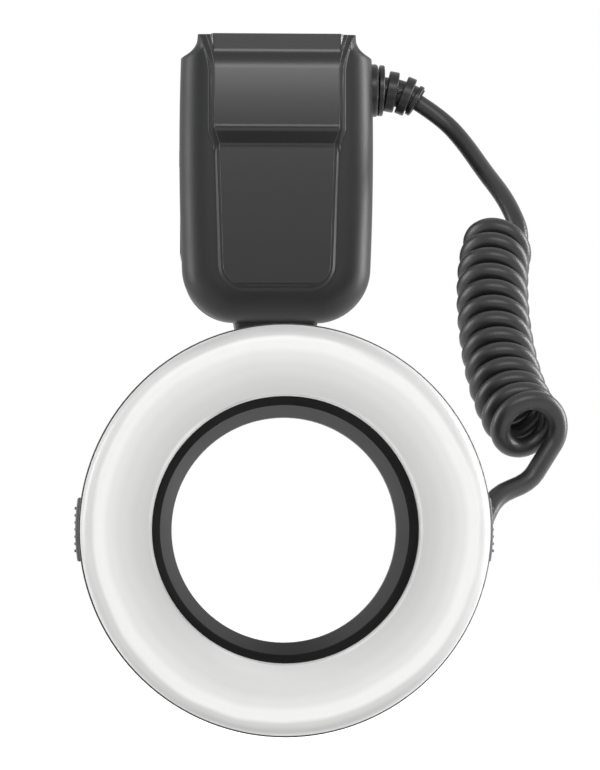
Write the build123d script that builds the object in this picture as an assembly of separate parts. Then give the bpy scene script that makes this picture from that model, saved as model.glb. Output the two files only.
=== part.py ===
from build123d import *
import os
from math import acos, asin, cos, degrees, pi, radians, sin, sqrt, tan

# Macro ring flash: a lamp ring for the front of a lens, a controller for the camera's hot shoe,
# and the curly cord between them. Millimetres, +Z up, the lamp faces -Y and +X is to the right
# of someone who looks at the lamp. The origin is the centre of the underside of the shoe foot.

# Fits that every piece shares
overrun = 1.0            # how far a cutting tool runs past the face that it opens
seam = 0.15              # gap between two casing pieces that are fixed to each other
seat_gap = 0.2           # gap between a fixed piece and the seat that locates it
running_gap = 0.3        # gap round a piece that turns or slides

# Lamp ring: radii from the lens axis, depths from the front of the diffuser
ring_reach = 158.0       # from the centre of the shoe foot forward to the front of the ring
ring_drop = 57.0         # from the underside of the shoe foot down to the lens axis
diffuser_radius = 57.0
diffuser_edge_radius = 5.0
diffuser_wall = 2.0
face_width = 19.8        # from the rim of the diffuser in to its bore
dish_depth = 3.4         # how far the inner lip lies behind the crown
lip_round = 0.8
skirt_depth = 7.4        # where the diffuser meets the black shell
spigot_length = 3.6
spigot_wall = 1.8
shell_proud = 0.65       # how far the black shell stands out past the diffuser
shell_wall = 2.0
shell_back_round = 4.0
shell_rim_round = 0.5
ring_depth = 26.0        # from the crown of the diffuser to the back of the shell

# Adapter ring that screws to the lens and carries the lamp ring
thread_inset = 3.7       # from the bore in to the M67 filter thread, 33.5 mm in radius
thread_length = 4.0
thread_wall = 1.3
adapter_flange = 6.3     # from the thread out to the flange
adapter_mouth_wall = 4.6
adapter_proud = 0.2
adapter_clearance = 0.6  # gap between the flange and the opening in the shell
groove_bite = 1.5        # depth of the groove that the pawls hold

# Latch sliders: two flat rings, one behind the other, each pressed by its own side button
slider_pad_height = 2.0
slider_thickness = 1.4
slider_width = 3.8
slider_travel = 2.0
pawl_bite = 0.8
pawl_width = 8.0
slider_neck_width = 10.0
button_height = 18.0
button_depth = 4.8
button_length = 6.2
button_proud = 1.55
button_edge_round = 0.6
spring_thickness = 0.4
spring_span = 15.0
spring_post = 1.0
spring_post_width = 2.0
latch_plate_thickness = 0.9
latch_plate_clearance = 1.65   # gap between the latch plate and the wall of the shell

# Inside of the lamp ring
board_thickness = 1.2
ring_board_width = 7.0
tray_floor = 1.2
tray_wall = 1.2
tray_inner_height = 6.5
collar_wall = 1.5
collar_taper = 1.6       # how much narrower the collar is at its back
collar_flange = 4.6
collar_flange_thickness = 1.2
tube_radius = 2.6
tube_standoff = 0.9
tube_inset = 10.0        # from the rim of the diffuser in to the middle of the flash tubes
tube_sweep = 150.0       # degrees of arc of each flash tube
holder_length = 6.0
holder_width = 7.4
led_side = 3.5
led_height = 1.2
led_spread = 9.0         # degrees from the vertical to each pair of lights
ring_screw_inset = 5.2   # from the rim of the diffuser in to the screws
screw_boss_radius = 2.5
screw_shank_radius = 1.1
screw_head_radius = 2.2
screw_head_height = 1.4
screw_angles = (45, 135, 225, 315)

# Hump on the back of the ring that the cord goes into
cord_diameter = 5.5
hump_angle = 60.0        # direction of the cord's exit, in degrees above the horizontal
hump_mouth_inset = 7.6   # from the rim of the diffuser in to the cord's exit
hump_mouth_angle = -21.37    # degrees from +X to the cord's exit, seen from the front
hump_length = 17.0
hump_width = 15.0
hump_height = 11.0
hump_round = 3.0
ring_boot_length = 15.0
ring_boot_radius = 5.2
ring_boot_tip_radius = 4.0

# Controller casing
case_bottom = 15.7
case_height = 92.3
case_half_width = 32.45
case_widest_height = 54.3    # from the bottom of the casing to its widest part
case_top_half_width = 31.8
case_foot_half_width = 30.7
case_corner_radius = 17.5
case_rail_front = 25.6       # from the foot's centre forward to the side rails
case_back = 24.0
case_shoulder_radius = 10.6
case_back_round = 4.0
case_wall = 2.4
case_side_wall = 2.9
case_front_wall = 3.0
case_parting = -4.0          # where the front and rear shells meet
cove_width = 5.5             # the hollow cut off each top corner, seen from the front
cove_height = 6.5
cove_sagitta = 1.5

# Raised centre of the casing's front
brow_proud = 3.2             # upper part, in front of the side rails
chin_proud = 1.3             # lower part, in front of the side rails
brow_half_width = 21.6
brow_slant = 0.8             # how much the brow's side walls spread for each unit of depth
brow_top_drop = 10.0         # from the top of the casing down to the front edge of the brow
cove_corner_drop = 7.0
cove_corner_inset = 1.8
cove_top_inset = 4.2
cove_blend_radius = 5.0
brow_edge_round = 1.2
step_top = 59.3              # heights above the bottom of the casing
step_rise = 5.0
chin_half_width = 20.0
chin_foot_half_width = 18.5
chin_bottom = 7.2
chin_corner_radius = 8.0
chin_slant = 30.0            # degrees of draft on the chin's wall
chin_root = 1.6              # how far the chin reaches into the rounded foot of the casing
panel_border = 0.7           # width of the shell's lip round the panel
panel_thickness = 1.4
panel_proud = 0.15

# Rear of the controller: heights above the bottom of the casing
window_width = 42.0
window_height = 28.0
window_centre = 71.3
window_thickness = 1.6
window_round = 2.0
display_margin = 2.0
display_thickness = 4.0
main_board_width = 46.0
main_board_top = 84.3
main_board_shoulder = 14.0
main_board_foot = 4.5
main_board_foot_width = 34.0
soft_key_width = 8.6
soft_key_height = 3.8
soft_key_pitch = 10.8
soft_key_centre = 50.8
key_proud = 1.0
key_travel = 0.8
key_flange = 0.9
key_flange_thickness = 1.2
key_round = 1.0
switch_side = 3.4
switch_height = 1.5
round_button_radius = 3.4
round_button_x = 23.4
upper_button_centre = 38.2
lower_button_centre = 19.2
dial_radius = 14.7
dial_centre = 28.2
dial_proud = 2.4
dial_recess = 2.4
dial_pad_margin = 3.0
dial_pad_thickness = 2.0
dial_hub_radius = 9.0
dial_scallops = 24
dial_scallop_radius = 0.8
set_button_radius = 6.6
set_button_proud = 1.9
encoder_radius = 11.0
encoder_height = 2.0
power_knob_width = 4.0
power_knob_height = 3.6
power_travel = 6.0
power_centre = 6.2
power_proud = 1.2
power_flange = 1.8

# Battery pack, which slides out of the left side of the controller
battery_thickness = 22.0
battery_height = 42.0
battery_front = -13.5
battery_bottom = 20.3
battery_inner_end = 20.0
battery_inset = 0.3          # how far its outer end lies inside the widest part of the casing
battery_round = 1.5
battery_gap = 0.4
bay_wall = 1.2
contact_width = 3.0
contact_height = 8.0
contact_thickness = 0.8
contact_pitch = 6.0
release_width = 10.0
release_height = 6.0
release_thickness = 2.5
release_travel = 1.0
release_proud = 0.5
release_drop = 6.0

# Electronics inside the controller
capacitor_radius = 9.0
capacitor_length = 38.0
capacitor_y = -10.0
transformer_size = (14.0, 5.0, 12.0)
transformer_x = 8.0

# Casing screws
case_screw_upper = (26.6, 83.3)  # sideways from the middle, and above the bottom
case_screw_lower = (22.0, 8.5)
case_screw_length = 12.0
case_screw_sink = 21.0           # how deep the screw heads lie in their holes
case_boss_radius = 3.3

# Ports under a flap in the right side
flap_front = -1.7
flap_length = 13.0           # from its front edge to its hinge
flap_bottom = 14.3
flap_height = 20.0
flap_thickness = 1.6
flap_barrel_radius = 0.75
flap_recess = 2.3            # depth of its recess below the widest part of the casing
flap_swing_room = 1.6
flap_floor_wall = 2.2
usb_width = 9.0
usb_thickness = 3.3
usb_length = 7.0
usb_wall = 0.5
jack_radius = 3.0
jack_bore_radius = 1.8
jack_length = 7.0
port_spacing = 5.2
port_y = 4.6

# Hot-shoe foot, its lock and the base that carries them
foot_width = 18.6
foot_length = 18.0
foot_plate = 2.0
foot_neck_width = 12.5
foot_neck_height = 2.1
foot_round = 1.5
stem_radius = 4.5
lever_thickness = 3.2
lever_radius = 11.5
lever_reach = 22.0
lever_width = 8.0
lever_rest_angle = 50.0      # degrees from +X to the lever's handle when it is locked
lever_round = 0.8
base_half_width = 14.5
base_front = 15.5
base_back = 17.0
base_slant = 12.0            # degrees
base_round = 3.0
pin_radius = 1.0
pin_forward = 6.3
pin_drop = 1.2
pin_top = 2.7
contact_pad_radius = 1.5
small_pad_radius = 0.9
pad_thickness = 0.6
pad_places = ((0.0, 0.0), (-4.2, -3.0), (4.2, -3.0), (-4.2, 4.2), (4.2, 4.2))
shoe_screw_x = 9.6
shoe_screw_y = 10.5

# Ribbed strain relief on the controller's side
boot_y = -6.0
boot_height = 77.0           # above the bottom of the casing
boot_flange_radius = 8.9
boot_flange = 3.6
boot_collar_radius = 8.6
boot_spigot_radius = 5.0
boot_spigot = 3.4
boot_core_radius = 4.7
boot_sweep = 33.0            # degrees that it bends down
boot_length = 14.2
boot_seat_inset = 1.3        # how deep its flange sits in the casing's side
boot_collar = 1.8
boot_ribs = ((2.8, 3.4, 6.9), (8.0, 3.2, 6.6), (12.2, 1.7, 5.5))  # start, length, radius

# Curly cord: the points of its leads are chosen by hand, as (x, y, z)
exit_run = 10.0          # straight run of the cord at the controller's strain relief
upper_route = ((63.3, -10.6, 74.7), (69.4, -21.8, 62.5), (74.3, -32.6, 53.2), (77.2, -39.9, 44.9))
upper_joint = (78.7, -42.4, 39.3)
lower_run = 8.0          # straight run of the lower lead where it leaves the curls
lower_route = ((61.0, -123.5, -49.0),)
entry_run = 7.5          # straight run at the ring's strain relief
coil_radius = 8.3
coil_turns = 13
coil_start_phase = 180.0
coil_end_phase = 140.0
coil_axis_points = ((70.7, -51.0, 35.3), (63.4, -70.8, 19.8), (65.2, -98.4, -20.3), (73.1, -120.0, -27.8))
run_share = 0.45         # the share of the shorter run that an arc may use
axis_steps = 400
gap_steps_per_turn = 48


# Helpers

def ring_place(x, depth, z):
    """A point of the lamp ring, from the lens axis and the front of the diffuser."""
    return (x, depth - ring_reach, z - ring_drop)


def turned(points, arc=360, start=0):
    """Revolve an outline of (radius, depth) points about the lens axis."""
    face = make_face(Polyline([(r, depth - ring_reach) for r, depth in points], close=True))
    solid = revolve(face, Axis.Y, revolution_arc=arc)
    return Pos(0, 0, -ring_drop) * (Rot(0, start, 0) * solid)


def ring_band(inner, outer, front, back):
    """A plain ring between two radii and two depths."""
    return turned([(inner, front), (outer, front), (outer, back), (inner, back)])


def along_y(radius, front, back, x, z):
    """A round bar along Y."""
    return Pos(x, (front + back) / 2, z) * Rot(90, 0, 0) * Cylinder(radius, back - front)


def circles(shape, radius):
    """Round edges of one radius, from front to back."""
    edges = shape.edges().filter_by(GeomType.CIRCLE)
    return edges.filter_by(lambda e: abs(e.radius - radius) < seam / 2).sort_by(Axis.Y)


def block(low, high):
    """A box between two corners."""
    size = [b - a for a, b in zip(low, high)]
    middle = [(a + b) / 2 for a, b in zip(low, high)]
    return Pos(*middle) * Box(*size)


def ring_screw_places(radius):
    return [(radius * cos(radians(a)), radius * sin(radians(a))) for a in screw_angles]


# Radii that follow from the diffuser's
bore_radius = diffuser_radius - face_width
thread_radius = bore_radius - thread_inset
tube_centre_radius = diffuser_radius - tube_inset
ring_screw_circle = diffuser_radius - ring_screw_inset
hump_mouth_x = (diffuser_radius - hump_mouth_inset) * cos(radians(hump_mouth_angle))
hump_mouth_z = (diffuser_radius - hump_mouth_inset) * sin(radians(hump_mouth_angle))

# Depths in the lamp ring, from the back plate forwards
shell_radius = diffuser_radius + shell_proud
shell_inner_radius = shell_radius - shell_wall
back_plate_front = ring_depth - shell_wall
rear_slider_back = back_plate_front - slider_pad_height - running_gap
rear_slider_front = rear_slider_back - slider_thickness
front_slider_back = rear_slider_front - running_gap
front_slider_front = front_slider_back - slider_thickness
latch_plate_back = front_slider_front - running_gap
latch_plate_front = latch_plate_back - latch_plate_thickness
ring_board_back = latch_plate_front - seat_gap
ring_board_front = ring_board_back - board_thickness
tray_back = ring_board_front - running_gap
tray_front = tray_back - tray_floor
tube_depth = tray_front - tube_standoff - tube_radius
collar_back = tray_back + seat_gap + collar_flange_thickness
collar_front = skirt_depth + seat_gap
collar_front_radius = bore_radius - seat_gap
collar_back_radius = collar_front_radius - collar_taper

# Radii of the adapter and the latch
adapter_radius = thread_radius + adapter_flange
adapter_front = collar_back + running_gap
adapter_back = ring_depth + adapter_proud
opening_radius = adapter_radius + adapter_clearance
slider_inner_radius = opening_radius + slider_travel
slider_outer_radius = slider_inner_radius + slider_width
pawl_radius = adapter_radius - pawl_bite
button_outer = shell_radius + button_proud
button_inner = button_outer - button_length
button_front = back_plate_front - slider_pad_height - running_gap * 2 - slider_thickness * 2 - running_gap
button_back = button_front + button_depth


# Lamp ring

def dome(inset):
    """Everything behind the diffuser's face, drawn inset by a wall."""
    crown = diffuser_radius - diffuser_edge_radius
    reach = crown - bore_radius
    dish_radius = (reach ** 2 + dish_depth ** 2) / (2 * dish_depth)
    lip = bore_radius + inset
    lip_depth = dish_radius - sqrt((dish_radius - inset) ** 2 - (crown - lip) ** 2)
    slant = asin((crown - lip) / (dish_radius - inset)) / 2
    middle_r = crown - (dish_radius - inset) * sin(slant)
    middle_depth = dish_radius - (dish_radius - inset) * cos(slant)
    edge_radius = diffuser_edge_radius - inset
    bend = edge_radius * sin(radians(45))
    front = -ring_reach
    dish = ThreePointArc((lip, front + lip_depth), (middle_r, front + middle_depth), (crown, front + inset))
    edge_middle = (crown + bend, front + diffuser_edge_radius - bend)
    edge = ThreePointArc(dish @ 1, edge_middle, (crown + edge_radius, front + diffuser_edge_radius))
    skirt = Polyline(edge @ 1, (crown + edge_radius, front + skirt_depth),
                     (lip, front + skirt_depth), dish @ 0)
    return Pos(0, 0, -ring_drop) * revolve(make_face([dish, edge, skirt]), Axis.Y)


def diffuser():
    """Milky front of the lamp, dished towards its bore and rounded over at its rim."""
    cover = dome(0) - dome(diffuser_wall)
    cover = fillet(circles(cover, bore_radius)[0], lip_round)
    outer = shell_inner_radius - seam
    spigot = ring_band(outer - spigot_wall, outer, skirt_depth - diffuser_wall, skirt_depth + spigot_length)
    return cover + spigot


def hump():
    """Rounded box on the back of the ring, cut to the ring's rim."""
    low = (-hump_length, ring_depth - shell_wall - ring_reach, -hump_width / 2)
    body = block(low, (0, ring_depth + hump_height - ring_reach, hump_width / 2))
    rear = body.edges().filter_by(Axis.Y, reverse=True).sort_by(Axis.Y)[-4:]
    upright = body.edges().filter_by(Axis.Y).sort_by(Axis.X)[:2]
    body = fillet(rear + upright, hump_round)
    placed = Pos(hump_mouth_x, 0, hump_mouth_z - ring_drop) * Rot(0, -hump_angle, 0) * body
    rim = ring_band(opening_radius, shell_radius, 0, ring_depth + hump_height + overrun)
    return placed & rim


def ring_rear_shell():
    """Black housing of the lamp ring, with its latch rails, screw bosses and cord hump."""
    rim = skirt_depth + seam
    shell = turned([(opening_radius, ring_depth), (shell_radius, ring_depth), (shell_radius, rim),
                    (shell_inner_radius, rim), (shell_inner_radius, back_plate_front),
                    (opening_radius, back_plate_front)])
    shell = fillet(circles(shell, shell_radius)[-1], shell_back_round)
    shell = fillet(circles(shell, shell_radius)[0], shell_rim_round)
    pad_front = back_plate_front - slider_pad_height
    for x, z in ring_screw_places(slider_inner_radius + slider_width / 2):
        front, back = pad_front - ring_reach, back_plate_front - ring_reach
        shell += along_y(slider_width / 2, front, back, x, z - ring_drop)
    for x, z in ring_screw_places(ring_screw_circle):
        front, back = latch_plate_back - ring_reach, back_plate_front - ring_reach
        shell += along_y(screw_boss_radius, front, back, x, z - ring_drop)
    for side in (-1, 1):
        for end in (-1, 1):
            shell += spring_post_block(side, end)
    shell += hump()
    for x, z in ring_screw_places(ring_screw_circle):
        back = ring_depth - ring_reach
        seat = back - screw_head_height - seam
        head = along_y(screw_head_radius + seam, seat, back + overrun, x, z - ring_drop)
        front = latch_plate_back - ring_reach - overrun
        shell = shell - head - along_y(screw_shank_radius, front, back, x, z - ring_drop)
    for side in (-1, 1):
        low = ring_place(button_inner - slider_travel - running_gap, button_front - running_gap,
                         -button_height / 2 - running_gap)
        high = ring_place(button_outer + overrun, button_back + running_gap, button_height / 2 + running_gap)
        window = block(low, high)
        shell -= window if side > 0 else mirror(window, Plane.YZ)
    return shell


def spring_post_block(side, end):
    """One of the two posts that a latch spring leans on, beside the pawl that it drives."""
    inner = slider_outer_radius + slider_travel + spring_post
    low_z = end * (spring_span / 2 - spring_post_width / 2)
    front = front_slider_front if side > 0 else rear_slider_front
    low = ring_place(inner, front, min(low_z, low_z + end * spring_post_width))
    high = ring_place(inner + spring_post, back_plate_front, max(low_z, low_z + end * spring_post_width))
    post = block(low, high)
    return post if side > 0 else mirror(post, Plane.YZ)


def latch_spring(side):
    """Bowed leaf that pushes a slider's pawl back into the groove."""
    outer = slider_outer_radius + slider_travel + spring_post - seat_gap
    apex = slider_outer_radius + seat_gap
    half = spring_span / 2 + spring_post_width / 2
    front, back = slider_layer(side)
    middle = (front + back) / 2 - ring_reach
    inner_line = ThreePointArc((outer - spring_thickness, -half), (apex, 0), (outer - spring_thickness, half))
    outer_line = ThreePointArc((outer, -half), (apex + spring_thickness, 0), (outer, half))
    ends = [Line(inner_line @ 0, outer_line @ 0), Line(inner_line @ 1, outer_line @ 1)]
    face = make_face([inner_line, outer_line] + ends)
    leaf = extrude(Plane.XZ * face, (back - front) / 2, both=True)
    leaf = Pos(0, middle, -ring_drop) * leaf
    return leaf if side < 0 else mirror(leaf, Plane.YZ)


def slider_layer(side):
    """Front and back of a slider: the left button's ring lies in front of the right one's."""
    if side < 0:
        return front_slider_front, front_slider_back
    return rear_slider_front, rear_slider_back


def latch_slider(side):
    """Flat ring with a thumb button on one side and a pawl on the other. side is the button's."""
    front, back = slider_layer(side)
    ring = ring_band(slider_inner_radius, slider_outer_radius, front, back)
    neck = block(ring_place(slider_inner_radius + seat_gap, front, -slider_neck_width / 2),
                 ring_place(button_inner + overrun, back, slider_neck_width / 2))
    cap = block(ring_place(button_inner, button_front, -button_height / 2),
                ring_place(button_outer + overrun, button_back, button_height / 2))
    cap = cap & ring_band(slider_outer_radius, button_outer, button_front, button_back)
    outer = cap.edges().sort_by(lambda e: (e @ 0.5).X)[-4:]
    cap = fillet(outer, button_edge_round)
    pawl = block(ring_place(-slider_inner_radius - seat_gap, front, -pawl_width / 2),
                 ring_place(-pawl_radius + pawl_bite, back, pawl_width / 2))
    pawl -= ring_band(0, pawl_radius, front - overrun, back + overrun)
    slider = ring + neck + cap + pawl
    return slider if side > 0 else mirror(slider, Plane.YZ)


def latch_plate():
    """Thin plate that keeps the two sliders on their rails."""
    outer = shell_inner_radius - latch_plate_clearance
    plate = ring_band(opening_radius, outer, latch_plate_front, latch_plate_back)
    notch = button_inner - slider_travel - running_gap * 2
    for side in (-1, 1):
        low = ring_place(notch, latch_plate_front - overrun, -button_height / 2 - overrun)
        high = ring_place(outer + overrun, latch_plate_back + overrun, button_height / 2 + overrun)
        relief = block(low, high)
        plate -= relief if side > 0 else mirror(relief, Plane.YZ)
    return plate - ring_screw_holes(latch_plate_front, latch_plate_back)


def ring_screw_holes(front, back):
    y0, y1 = front - overrun - ring_reach, back + overrun - ring_reach
    places = ring_screw_places(ring_screw_circle)
    return Part() + [along_y(screw_shank_radius, y0, y1, x, z - ring_drop) for x, z in places]


def reflector_tray():
    """Ring-shaped white trough behind the flash tubes, screwed to the rear shell."""
    inner = bore_radius + diffuser_wall
    outer = shell_inner_radius - seam * 2
    outer_wall_front = skirt_depth + spigot_length + seat_gap
    inner_wall_front = tray_back - tray_inner_height - tray_floor
    tray = turned([(inner, tray_back), (outer, tray_back), (outer, outer_wall_front),
                   (outer - tray_wall, outer_wall_front), (outer - tray_wall, tray_front),
                   (inner + tray_wall, tray_front), (inner + tray_wall, inner_wall_front),
                   (inner, inner_wall_front)])
    for x, z in ring_screw_places(ring_screw_circle):
        front, back = tray_front - ring_reach, latch_plate_front - ring_reach
        tray += along_y(screw_boss_radius, front, back, x, z - ring_drop)
    return tray - ring_screw_holes(tray_front, latch_plate_front)


def inner_collar():
    """Matt black funnel that lines the bore."""
    flange_front = collar_back - collar_flange_thickness
    return turned([(collar_front_radius, collar_front), (collar_front_radius + collar_wall, collar_front),
                   (collar_back_radius + collar_wall, flange_front),
                   (collar_back_radius + collar_wall + collar_flange, flange_front),
                   (collar_back_radius + collar_wall + collar_flange, collar_back),
                   (collar_back_radius, collar_back)])


def flash_tube(side):
    """Glass discharge tube bent to nearly half a ring."""
    section = Pos(tube_centre_radius, tube_depth - ring_reach) * Circle(tube_radius)
    tube = revolve(section, Axis.Y, revolution_arc=tube_sweep)
    start = -tube_sweep / 2 if side > 0 else 180 - tube_sweep / 2
    return Pos(0, 0, -ring_drop) * (Rot(0, start, 0) * tube)


def tube_holders():
    """Four moulded cradles that grip the ends of the flash tubes."""
    inner = tube_centre_radius - holder_width / 2
    grip_front = tube_depth
    cradle = block((inner, grip_front - ring_reach, -holder_length / 2),
                   (inner + holder_width, tray_front - ring_reach, holder_length / 2))
    straight = Cylinder(tube_radius + seam, holder_length * 2)
    bent = Rot(90, 0, 0) * Torus(tube_centre_radius, tube_radius + seam)
    cradle -= Pos(tube_centre_radius, tube_depth - ring_reach, 0) * straight
    cradle -= Pos(0, tube_depth - ring_reach, 0) * bent
    ends = tube_sweep / 2 - degrees(holder_length / 2 / tube_centre_radius)
    angles = (ends, -ends, 180 - ends, 180 + ends)
    return Part() + [Pos(0, 0, -ring_drop) * Rot(0, a, 0) * cradle for a in angles]


def modelling_leds():
    """Two pairs of small lights, in the gaps above and below the flash tubes."""
    low = (tube_centre_radius - led_side / 2, tray_front - led_height - ring_reach, -led_side / 2)
    lamp = block(low, (low[0] + led_side, tray_front - ring_reach, led_side / 2))
    angles = [90 + a for a in (-led_spread, led_spread)] + [270 + a for a in (-led_spread, led_spread)]
    return Part() + [Pos(0, 0, -ring_drop) * Rot(0, a, 0) * lamp for a in angles]


def ring_board():
    """Ring-shaped circuit board between the tray and the latch."""
    inner = collar_back_radius + collar_wall + collar_flange + seat_gap
    return ring_band(inner, inner + ring_board_width, ring_board_front, ring_board_back)


def ring_screws():
    """Four screws from the back through the shell and latch plate into the tray."""
    back = ring_depth - ring_reach
    screws = []
    for x, z in ring_screw_places(ring_screw_circle):
        seat = back - screw_head_height
        head = along_y(screw_head_radius, seat, back, x, z - ring_drop)
        shank = along_y(screw_shank_radius, tray_front - ring_reach, seat, x, z - ring_drop)
        screws.append(head + shank)
    return Part() + screws


def adapter_ring():
    """Ring that screws into the lens's filter thread, with the groove that the pawls hold."""
    clear = thread_radius - thread_wall
    groove_front = front_slider_front - running_gap
    groove_back = rear_slider_back + running_gap
    groove_radius = adapter_radius - groove_bite
    mouth = adapter_radius - adapter_mouth_wall
    return turned([(mouth, adapter_front), (adapter_radius, adapter_front), (adapter_radius, groove_front),
                   (groove_radius, groove_front), (groove_radius, groove_back), (adapter_radius, groove_back),
                   (adapter_radius, adapter_back), (thread_radius, adapter_back),
                   (thread_radius, adapter_back + thread_length), (clear, adapter_back + thread_length),
                   (clear, adapter_back)])


# Controller casing

case_top = case_bottom + case_height
brow_front = case_rail_front + brow_proud
chin_front = case_rail_front + chin_proud


def height(above):
    """A height above the bottom of the casing, as a Z."""
    return case_bottom + above


def case_block():
    """Casing without its details: bulged sides, large bottom corners and round shoulders."""
    right = ThreePointArc((case_foot_half_width, case_bottom),
                          (case_half_width, height(case_widest_height)), (case_top_half_width, case_top))
    left = mirror(right, Plane.YZ)
    outline = [right, left, Line(right @ 1, left @ 1), Line(right @ 0, left @ 0)]
    face = make_face(outline)
    face = fillet(face.vertices().sort_by(Axis.Y)[:2], case_corner_radius)
    body = extrude(Plane.XZ * face, case_back + case_rail_front)
    body = Pos(0, case_back, 0) * body
    front = body.faces().sort_by(Axis.Y)[0].edges().sort_by(Axis.Z)[:-1]
    body = fillet(front, case_shoulder_radius)
    back = body.faces().sort_by(Axis.Y)[-1].edges()
    return fillet(back, case_back_round)


def cove_points(past):
    """Points in Y and Z of the hollow that leads from the casing's top to the brow."""
    corner = (-brow_front + cove_corner_inset, case_top - cove_corner_drop)
    edge = (-brow_front, case_top - brow_top_drop)
    crest = (-brow_front + cove_top_inset, case_top)
    lean = (crest[0] - corner[0]) / (crest[1] - corner[1])
    over = (crest[0] + lean * past, case_top + past)
    return over, corner, edge


def side_profile(back):
    """Outline of the casing's front seen from the side, as a face in Y and Z: brow and cove."""
    over, corner, edge = cove_points(0)
    step = (-brow_front, height(step_top))
    fall = step_rise / (brow_proud - chin_proud)
    foot = (-case_rail_front, height(step_top) - brow_proud * fall)
    front = FilletPolyline(over, corner, edge, step, foot,
                           radius=[cove_blend_radius, brow_edge_round, brow_edge_round])
    rest = Polyline(front @ 1, (back, foot[1]), (back, over[1]), front @ 0)
    return make_face([front, rest])


def brow():
    """Upper part of the raised centre: a wedge with slanted sides and a slanted underside."""
    spread = brow_slant * (brow_proud + case_front_wall)
    back = -case_rail_front + case_front_wall
    half = brow_half_width
    plan = make_face(Polyline((-half, -brow_front), (half, -brow_front), (half + spread, back),
                              (-half - spread, back), close=True))
    column = Pos(0, 0, height(0)) * extrude(plan, case_height)
    slab = extrude(Plane.YZ * side_profile(back), case_half_width, both=True)
    return column & slab


def chin():
    """Lower part of the raised centre, with a drafted edge."""
    bottom, top = -height(chin_bottom), -height(step_top)
    sides = FilletPolyline((chin_half_width, top), (chin_foot_half_width, bottom),
                           (-chin_foot_half_width, bottom), (-chin_half_width, top),
                           radius=[chin_corner_radius, chin_corner_radius])
    face = make_face([sides, Line(sides @ 1, sides @ 0)])
    plane = Plane((0, -chin_front, 0), x_dir=(1, 0, 0), z_dir=(0, 1, 0))
    return extrude(plane * face, chin_proud + chin_root, taper=-chin_slant)


def panel_blank(border, proud, thickness):
    """The front panel's skin, or the pocket for it: a band that follows cove, brow, step and chin."""
    over, corner, edge = cove_points(overrun)
    step, toe = (-brow_front, height(step_top)), (-chin_front, height(step_top) - step_rise)
    line = FilletPolyline(over, corner, edge, step, toe, (-chin_front, case_bottom),
                          radius=[cove_blend_radius, brow_edge_round, brow_edge_round, brow_edge_round])
    front = Pos(-proud, 0) * line
    back = Pos(thickness - proud, 0) * line
    band = make_face([front, back, Line(front @ 0, back @ 0), Line(front @ 1, back @ 1)])
    skin = extrude(Plane.YZ * band, case_half_width, both=True)
    half, chin_half = brow_half_width - border, chin_half_width - border
    top_half = brow_half_width + brow_slant * cove_top_inset - border
    foot_half, radius = chin_foot_half_width - border, chin_corner_radius - border
    bottom = height(chin_bottom) + border
    right = [(top_half, case_top + overrun), (half, case_top - brow_top_drop), (half, height(step_top)),
             (chin_half, height(step_top) - step_rise), (foot_half, bottom)]
    left = [(-x, z) for x, z in reversed(right)]
    radii = [0, 0, 0, radius, radius, 0, 0, 0]
    outline = FilletPolyline(right + left, radius=radii)
    shape = make_face([outline, Line(outline @ 1, outline @ 0)])
    return skin & Pos(0, -case_rail_front + overrun, 0) * extrude(Plane.XZ * shape, brow_proud + overrun * 2)


def corner_cove(side):
    """Tool that hollows one top corner."""
    inner, outer = case_top_half_width - cove_width, case_top_half_width
    low = case_top - cove_height
    chord = sqrt(cove_width ** 2 + cove_height ** 2)
    middle = ((inner + outer) / 2 - cove_sagitta * cove_height / chord,
              (case_top + low) / 2 - cove_sagitta * cove_width / chord)
    hollow = ThreePointArc((inner, case_top), middle, (outer, low))
    past = (outer + overrun * 2, case_top + overrun * 2)
    rest = Polyline(hollow @ 1, (past[0], low), past, (inner, past[1]), hollow @ 0)
    tool = extrude(Plane.XZ * make_face([hollow, rest]), case_back + brow_front + overrun * 2)
    tool = Pos(0, case_back + overrun, 0) * tool
    return tool if side > 0 else mirror(tool, Plane.YZ)


def case_cavity():
    """Space inside the casing."""
    top, bottom = case_top - case_wall, case_bottom + case_wall
    half = case_half_width - case_side_wall
    shoulder = case_top_half_width - cove_width - case_wall
    low = case_top - cove_height - case_wall
    radius = case_corner_radius - case_wall
    outline = FilletPolyline([(shoulder, top), (half, low), (half, bottom), (-half, bottom), (-half, low),
                              (-shoulder, top)], radius=[2 * case_wall, case_wall, radius, radius, case_wall,
                                                         2 * case_wall], close=True)
    depth = case_back - case_wall + case_rail_front - case_front_wall
    room = Pos(0, case_back - case_wall, 0) * extrude(Plane.XZ * make_face(outline), depth)
    front = room.faces().sort_by(Axis.Y)[0].edges().sort_by(Axis.Z)[:-1]
    front = [e for e in front if (e @ 0.5).Z < low]
    return fillet(front, case_shoulder_radius - case_front_wall)


def case_skin():
    """The closed casing: outside form less the space inside."""
    back = case_back + overrun
    slab = extrude(Plane.YZ * side_profile_all(back), case_half_width + overrun, both=True)
    body = case_block() & slab
    body = body + brow() + chin()
    body = body - corner_cove(1) - corner_cove(-1)
    return body - case_cavity() - panel_blank(panel_border - seam, 0, panel_thickness + seam)


def side_profile_all(back):
    """Everything behind the cove and the brow's plane, for the full height of the casing."""
    over, corner, edge = cove_points(overrun)
    low = case_bottom - overrun
    front = FilletPolyline(over, corner, edge, (-brow_front, low),
                           radius=[cove_blend_radius, brow_edge_round])
    rest = Polyline(front @ 1, (back, low), (back, over[1]), front @ 0)
    return make_face([front, rest])


def case_screw_places():
    upper_x, upper_z = case_screw_upper
    lower_x, lower_z = case_screw_lower
    return [(side * x, height(z)) for side in (-1, 1) for x, z in ((upper_x, upper_z), (lower_x, lower_z))]


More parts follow.
